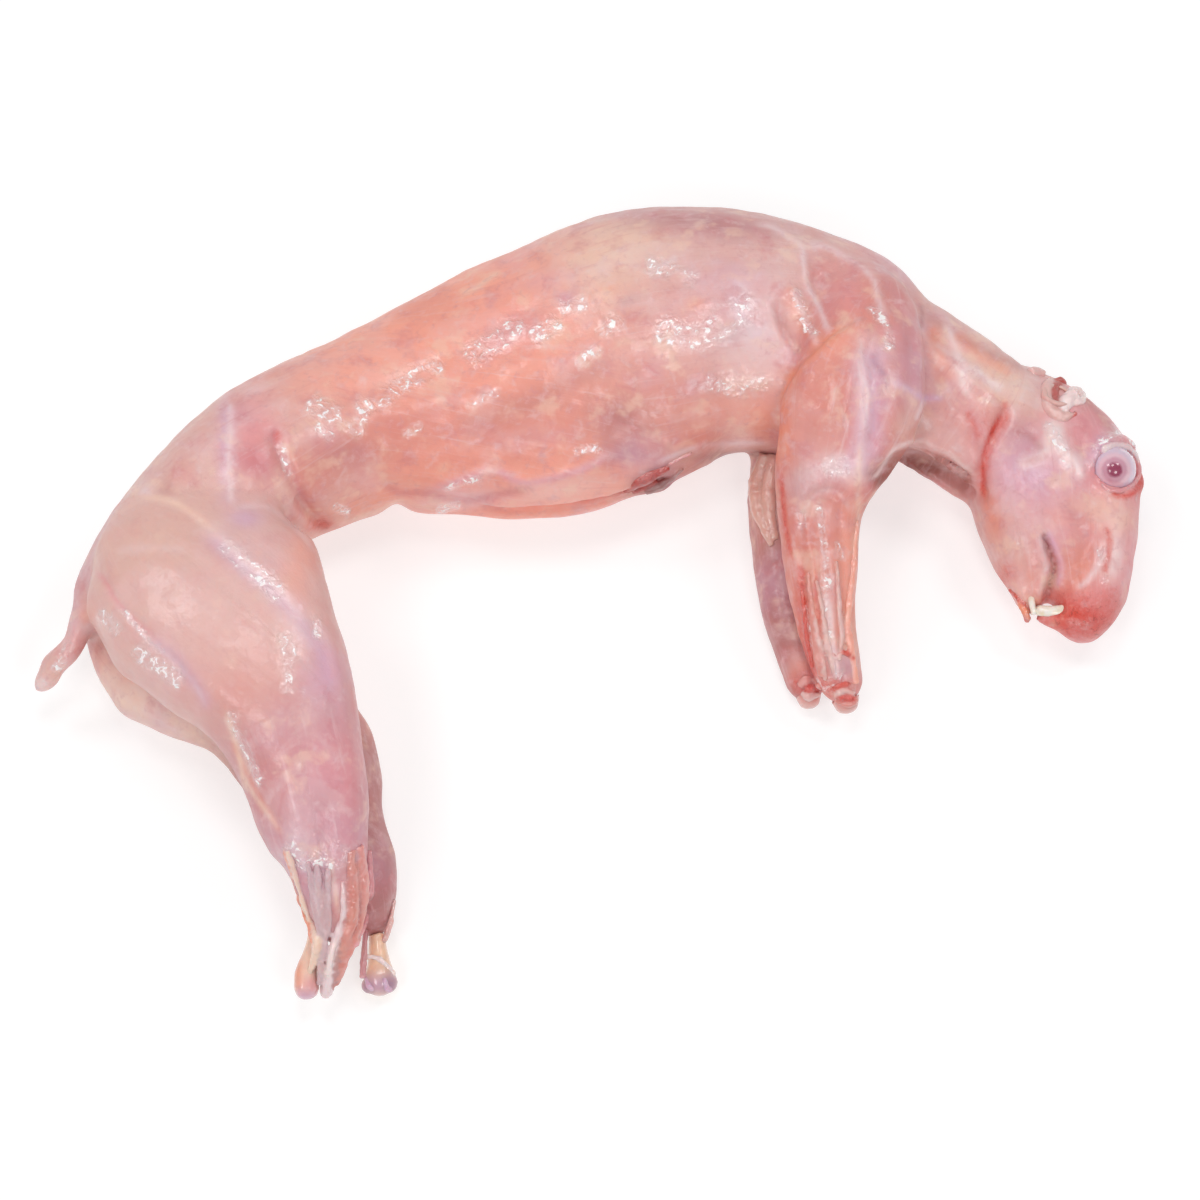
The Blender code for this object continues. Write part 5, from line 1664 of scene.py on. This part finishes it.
def fade_into_flesh(body):
    """Take the flesh's own tint where a strand sinks into it."""
    skin = bpy.data.objects["flesh_skin"].data
    tints = np.empty(len(skin.vertices) * 4)
    skin.attributes["tint"].data.foreach_get("color", tints)
    tints = tints.reshape(-1, 4)[:, :3]
    normals = np.empty(len(skin.vertices) * 3)
    skin.vertices.foreach_get("normal", normals)
    tree = point_tree([vertex.co for vertex in skin.vertices])
    finds = [tree.find(point) for point in body.points]
    spots = np.array([find[0] for find in finds])
    nearest = np.array([find[1] for find in finds])
    height = np.einsum("ij,ij->i", body.points - spots, normals.reshape(-1, 3)[nearest])
    far = np.array([find[2] for find in finds]) > STRAND_REACH * MM
    own = np.maximum(smooth_step(height / MM, *STRAND_FADE), far)[:, None]
    body.tint = tints[nearest] + (body.tint - tints[nearest]) * own


def covering(tree, radii, point):
    """The sample of a path whose tube reaches closest to a point."""
    found = tree.find_n(point, STRAND_SAMPLES)
    return min(found, key=lambda sample: sample[2] - radii[sample[1]])[1]


def paint_strands(body, paths, tones, back):
    """Give each strand its tone and blood, and return the fibres along it."""
    samples = np.vstack([path[:, :3] for path in paths])
    ways = np.vstack([np.gradient(path[:, :3], axis=0) for path in paths])
    ways /= np.linalg.norm(ways, axis=1)[:, None]
    radii = np.concatenate([path[:, 3] for path in paths]) * MM
    strand = np.repeat(np.arange(len(paths)), [len(path) for path in paths])
    tree = point_tree(samples)
    nearest = np.array([covering(tree, radii, point) for point in body.points])
    owner = strand[nearest]
    colours = np.array([body.tone(tone) for tone in tones])
    body.tint = body.spread(colours[owner], EDGE_MELT)
    fade_into_flesh(body)
    bloody = np.array([tone in BLOODY for tone in tones])
    body.blood = STRAND_BLOOD * body.spread(bloody[owner], EDGE_MELT)
    away = body.points - samples[nearest]
    beside = np.einsum("ij,ij->i", away, np.cross(ways[nearest], np.array(back)))
    along = np.einsum("ij,ij->i", body.points, ways[nearest])
    return fibres(along, beside, owner, STRAND_FIBRE)


def make_strands(context, name, strands):
    """Strands melted into one piece, each with its own tone and lines along it."""
    settings = context.scene.rabbit
    sight = sight_of(context)
    trees = standing_trees()
    paths = [strand_path(sight, trees, points) for _, points in strands]
    piece = melted_tubes(name, paths)
    body = Tinted(piece, settings.colours)
    body.relax(*STRAND_RELAX)
    body.push(lumps(body.points, STRAND_LUMPS))
    grain = paint_strands(body, paths, [tone for tone, _ in strands], sight.back)
    body.gloss[:] = settings.skin.strand_gloss
    body.keep(grain, np.full(len(body.points), STRAND_SHEET))
    material = flesh_material(name, settings.colours, settings.skin)
    finish_piece(piece, material, "tendon")


class RABBIT_OT_strands(bpy.types.Operator):
    """Lay the strands, scraps and torn rims on the flesh"""

    bl_idname = "rabbit.strands"
    bl_label = "Strands and scraps"

    def execute(self, context):
        for name, strands in STRANDS.items():
            make_strands(context, name, strands)
        return {"FINISHED"}


# Eyes, ears and teeth


def eye_material(eyes):
    """Pupil, iris and white as rings about the gaze, under a clear wet cornea."""
    web = Web("eyeball")
    angle = web.maths("ADD", web.attribute("gaze"),
                      web.ramp("iris edge", web.pattern("iris edge")))
    shade = flat(eyes.pupil_tone)
    for middle, edge, tone in ((eyes.pupil, PUPIL_EDGE, eyes.iris_tone),
                               (eyes.iris, IRIS_EDGE, eyes.rim_tone),
                               (eyes.iris, RIM_EDGE, eyes.white_tone)):
        part = web.stretch(angle, *(middle + side for side in edge))
        shade = web.mix(part, shade, flat(tone))
    veins = web.ramp("veined", web.pattern("eye veins"))
    shade = web.mix(veins, shade, flat(eyes.iris_tone))
    return web.finish(Base_Color=shade, **EYE_SHINE)


def make_eye(context, node, gaze):
    """An eyeball with a cornea that stands out."""
    eyes = context.scene.rabbit.eyes
    low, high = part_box(node)
    radius = (high.x - low.x) / 2
    around, rings = EYE_FACES
    bpy.ops.object.select_all(action="DESELECT")
    bpy.ops.mesh.primitive_uv_sphere_add(segments=around, ring_count=rings, radius=radius)
    piece = bpy.context.object
    piece.name = node + "_ball"
    piece.data.transform(gaze.to_track_quat("Z", "Y").to_matrix().to_4x4())
    body = Surface(piece)
    cosine = body.points @ np.array(gaze) / radius
    angle = np.degrees(np.arccos(np.clip(cosine, -1, 1)))
    bulge = eyes.bulge * MM / radius * smooth_step(-angle, -eyes.iris, -CORNEA_TOP)
    body.points *= (1 + bulge)[:, None]
    body.points += np.array((low + high) / 2)
    body.write()
    body.store("gaze", angle)
    finish_piece(piece, eye_material(eyes), "eye", node)


class RABBIT_OT_eyes(bpy.types.Operator):
    """Set an eyeball in each socket"""

    bl_idname = "rabbit.eyes"
    bl_label = "Eyes"

    def execute(self, context):
        sight = sight_of(context)
        low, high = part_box("eye_right")
        gaze = (sight.place - (low + high) / 2).normalized() + sight.right * GAZE_ASIDE
        gaze.normalize()
        make_eye(context, "eye_right", gaze)
        make_eye(context, "eye_left", Vector((gaze.x, gaze.y, -gaze.z)))
        return {"FINISHED"}


def make_ear(context, node):
    """The cup of cartilage that is left of an ear, pale outside and beige inside; its curl is
    laid among the strands.
    """
    settings = context.scene.rabbit
    piece = melted(node + "_stump", [node], *EAR_MELT)
    body = Painted(piece, sight_of(context), [node], settings.colours)
    body.relax(*EAR_RELAX)
    body.push(lumps(body.points, EAR_LUMPS))
    corners = np.array([v.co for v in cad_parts[node].data.vertices])
    away = body.points - corners.mean(0)
    inside = smooth_step(-np.einsum("ij,ij->i", away, body.normals) / MM, *EAR_CUP)
    body.tint[:] = body.tone("pale")
    body.blend("beige", inside)
    body.store("tint", body.tint)
    finish_piece(piece, painted_material(node + " finish", EAR_FINISH), "ear", node)


class RABBIT_OT_ears(bpy.types.Operator):
    """Shape the cut ear stumps"""

    bl_idname = "rabbit.ears"
    bl_label = "Ears"

    def execute(self, context):
        for node in ("ear_right", "ear_left"):
            make_ear(context, node)
        return {"FINISHED"}


def tooth_material():
    """Enamel, yellower at the root, with fine lines along it."""
    web = Web("enamel")
    stain = web.ramp("stained", web.pattern("stains"))
    return web.finish(Base_Color=web.mix(stain, ENAMEL_TONE, ROOT_TONE),
                      Normal=web.bump(web.pattern("tooth lines"), TOOTH_LINES), **TOOTH_SHINE)


def make_tooth(node):
    """A tooth rounded from its CAD solid."""
    piece = merged_copy(node + "_tooth", [node])
    apply_modifier(piece, "round", "SUBSURF", levels=2, render_levels=2)
    if "upper" in node:
        Surface(piece).push(np.full(len(piece.data.vertices), UPPER_TOOTH_SWELL))
    finish_piece(piece, tooth_material(), "tooth", node)


class RABBIT_OT_teeth(bpy.types.Operator):
    """Round off the incisors"""

    bl_idname = "rabbit.teeth"
    bl_label = "Teeth"

    def execute(self, context):
        for node in sorted(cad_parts):
            if "incisor" in node:
                make_tooth(node)
        return {"FINISHED"}


# Stage


def area_light(name, sight, tilt, turn, size, power):
    """A soft light, tilted from the line of sight towards the picture's edge at turn."""
    tilt, turn = math.radians(tilt), math.radians(turn)
    edge = sight.right * math.cos(turn) + sight.up * math.sin(turn)
    way = sight.back * math.cos(tilt) + edge * math.sin(tilt)
    bpy.ops.object.light_add(type="AREA", location=sight.target + way * BOX_DISTANCE)
    light = bpy.context.object
    light.name = name
    light.data.shape = "DISK"
    light.data.size = size
    light.data.energy = power
    light.rotation_euler = way.to_track_quat("Z", "Y").to_euler()


def make_floor(width, glow):
    """A white floor, far wider than the rabbit, lit a little from below."""
    bpy.ops.mesh.primitive_grid_add(x_subdivisions=4, y_subdivisions=4, size=width)
    floor = bpy.context.object
    floor.name = "floor"
    material = Web("white floor").finish(Emission_Strength=glow, **FLOOR_SHINE)
    floor.data.materials.append(material)


def make_camera(sight):
    """The photograph's camera."""
    bpy.ops.object.camera_add(location=sight.place)
    camera = bpy.context.object
    camera.rotation_euler = sight.back.to_track_quat("Z", "Y").to_euler()
    camera.data.sensor_width = SENSOR
    camera.data.lens = SENSOR * sight.distance * PIXELS_PER_MM / (PHOTO_SIDE * MM)
    bpy.context.scene.camera = camera


def make_surroundings(brightness):
    """Plain white light from all sides."""
    world = bpy.data.worlds.new("surroundings")
    world.use_nodes = True
    glow = world.node_tree.nodes["Background"]
    glow.inputs["Color"].default_value = (1, 1, 1, 1)
    glow.inputs["Strength"].default_value = brightness
    bpy.context.scene.world = world


class RABBIT_OT_stage(bpy.types.Operator):
    """Lay the floor and set the lights and the camera"""

    bl_idname = "rabbit.stage"
    bl_label = "Stage"

    def execute(self, context):
        stage = context.scene.rabbit.stage
        sight = sight_of(context)
        make_floor(stage.floor_width, stage.floor_glow)
        make_camera(sight)
        make_surroundings(stage.ambient)
        for number, (tilt, turn) in enumerate(SOFT_BOXES):
            area_light(f"soft box {number}", sight, tilt, turn, stage.box_width, stage.box_power)
        context.scene.view_settings.view_transform = "Standard"
        return {"FINISHED"}


class RABBIT_PT_panel(bpy.types.Panel):
    """The pieces, in the order that they are made"""

    bl_label = "Dressed rabbit"
    bl_idname = "RABBIT_PT_panel"
    bl_space_type = "VIEW_3D"
    bl_region_type = "UI"
    bl_category = "Rabbit"

    def draw(self, context):
        settings = context.scene.rabbit
        for group in (settings.colours, settings.skin, settings.eyes, settings.stage):
            box = self.layout.box()
            for name in group.__annotations__:
                box.prop(group, name)
        for operator in OPERATORS:
            self.layout.operator(operator.bl_idname)


OPERATORS = (RABBIT_OT_skin, RABBIT_OT_bones, RABBIT_OT_strands, RABBIT_OT_eyes, RABBIT_OT_ears,
             RABBIT_OT_teeth, RABBIT_OT_stage)
CLASSES = (RABBIT_PG_colours, RABBIT_PG_skin, RABBIT_PG_stage, RABBIT_PG_eyes, RABBIT_PG_settings,
           *OPERATORS, RABBIT_PT_panel)


def register():
    for kind in CLASSES:
        bpy.utils.register_class(kind)
    bpy.types.Scene.rabbit = bpy.props.PointerProperty(type=RABBIT_PG_settings)


def unregister():
    del bpy.types.Scene.rabbit
    for kind in reversed(CLASSES):
        bpy.utils.unregister_class(kind)


def main():
    register()
    bpy.ops.rabbit.skin()
    bpy.ops.rabbit.bones()
    bpy.ops.rabbit.strands()
    bpy.ops.rabbit.eyes()
    bpy.ops.rabbit.ears()
    bpy.ops.rabbit.teeth()
    bpy.ops.rabbit.stage()


if __name__ == "__main__":
    main()
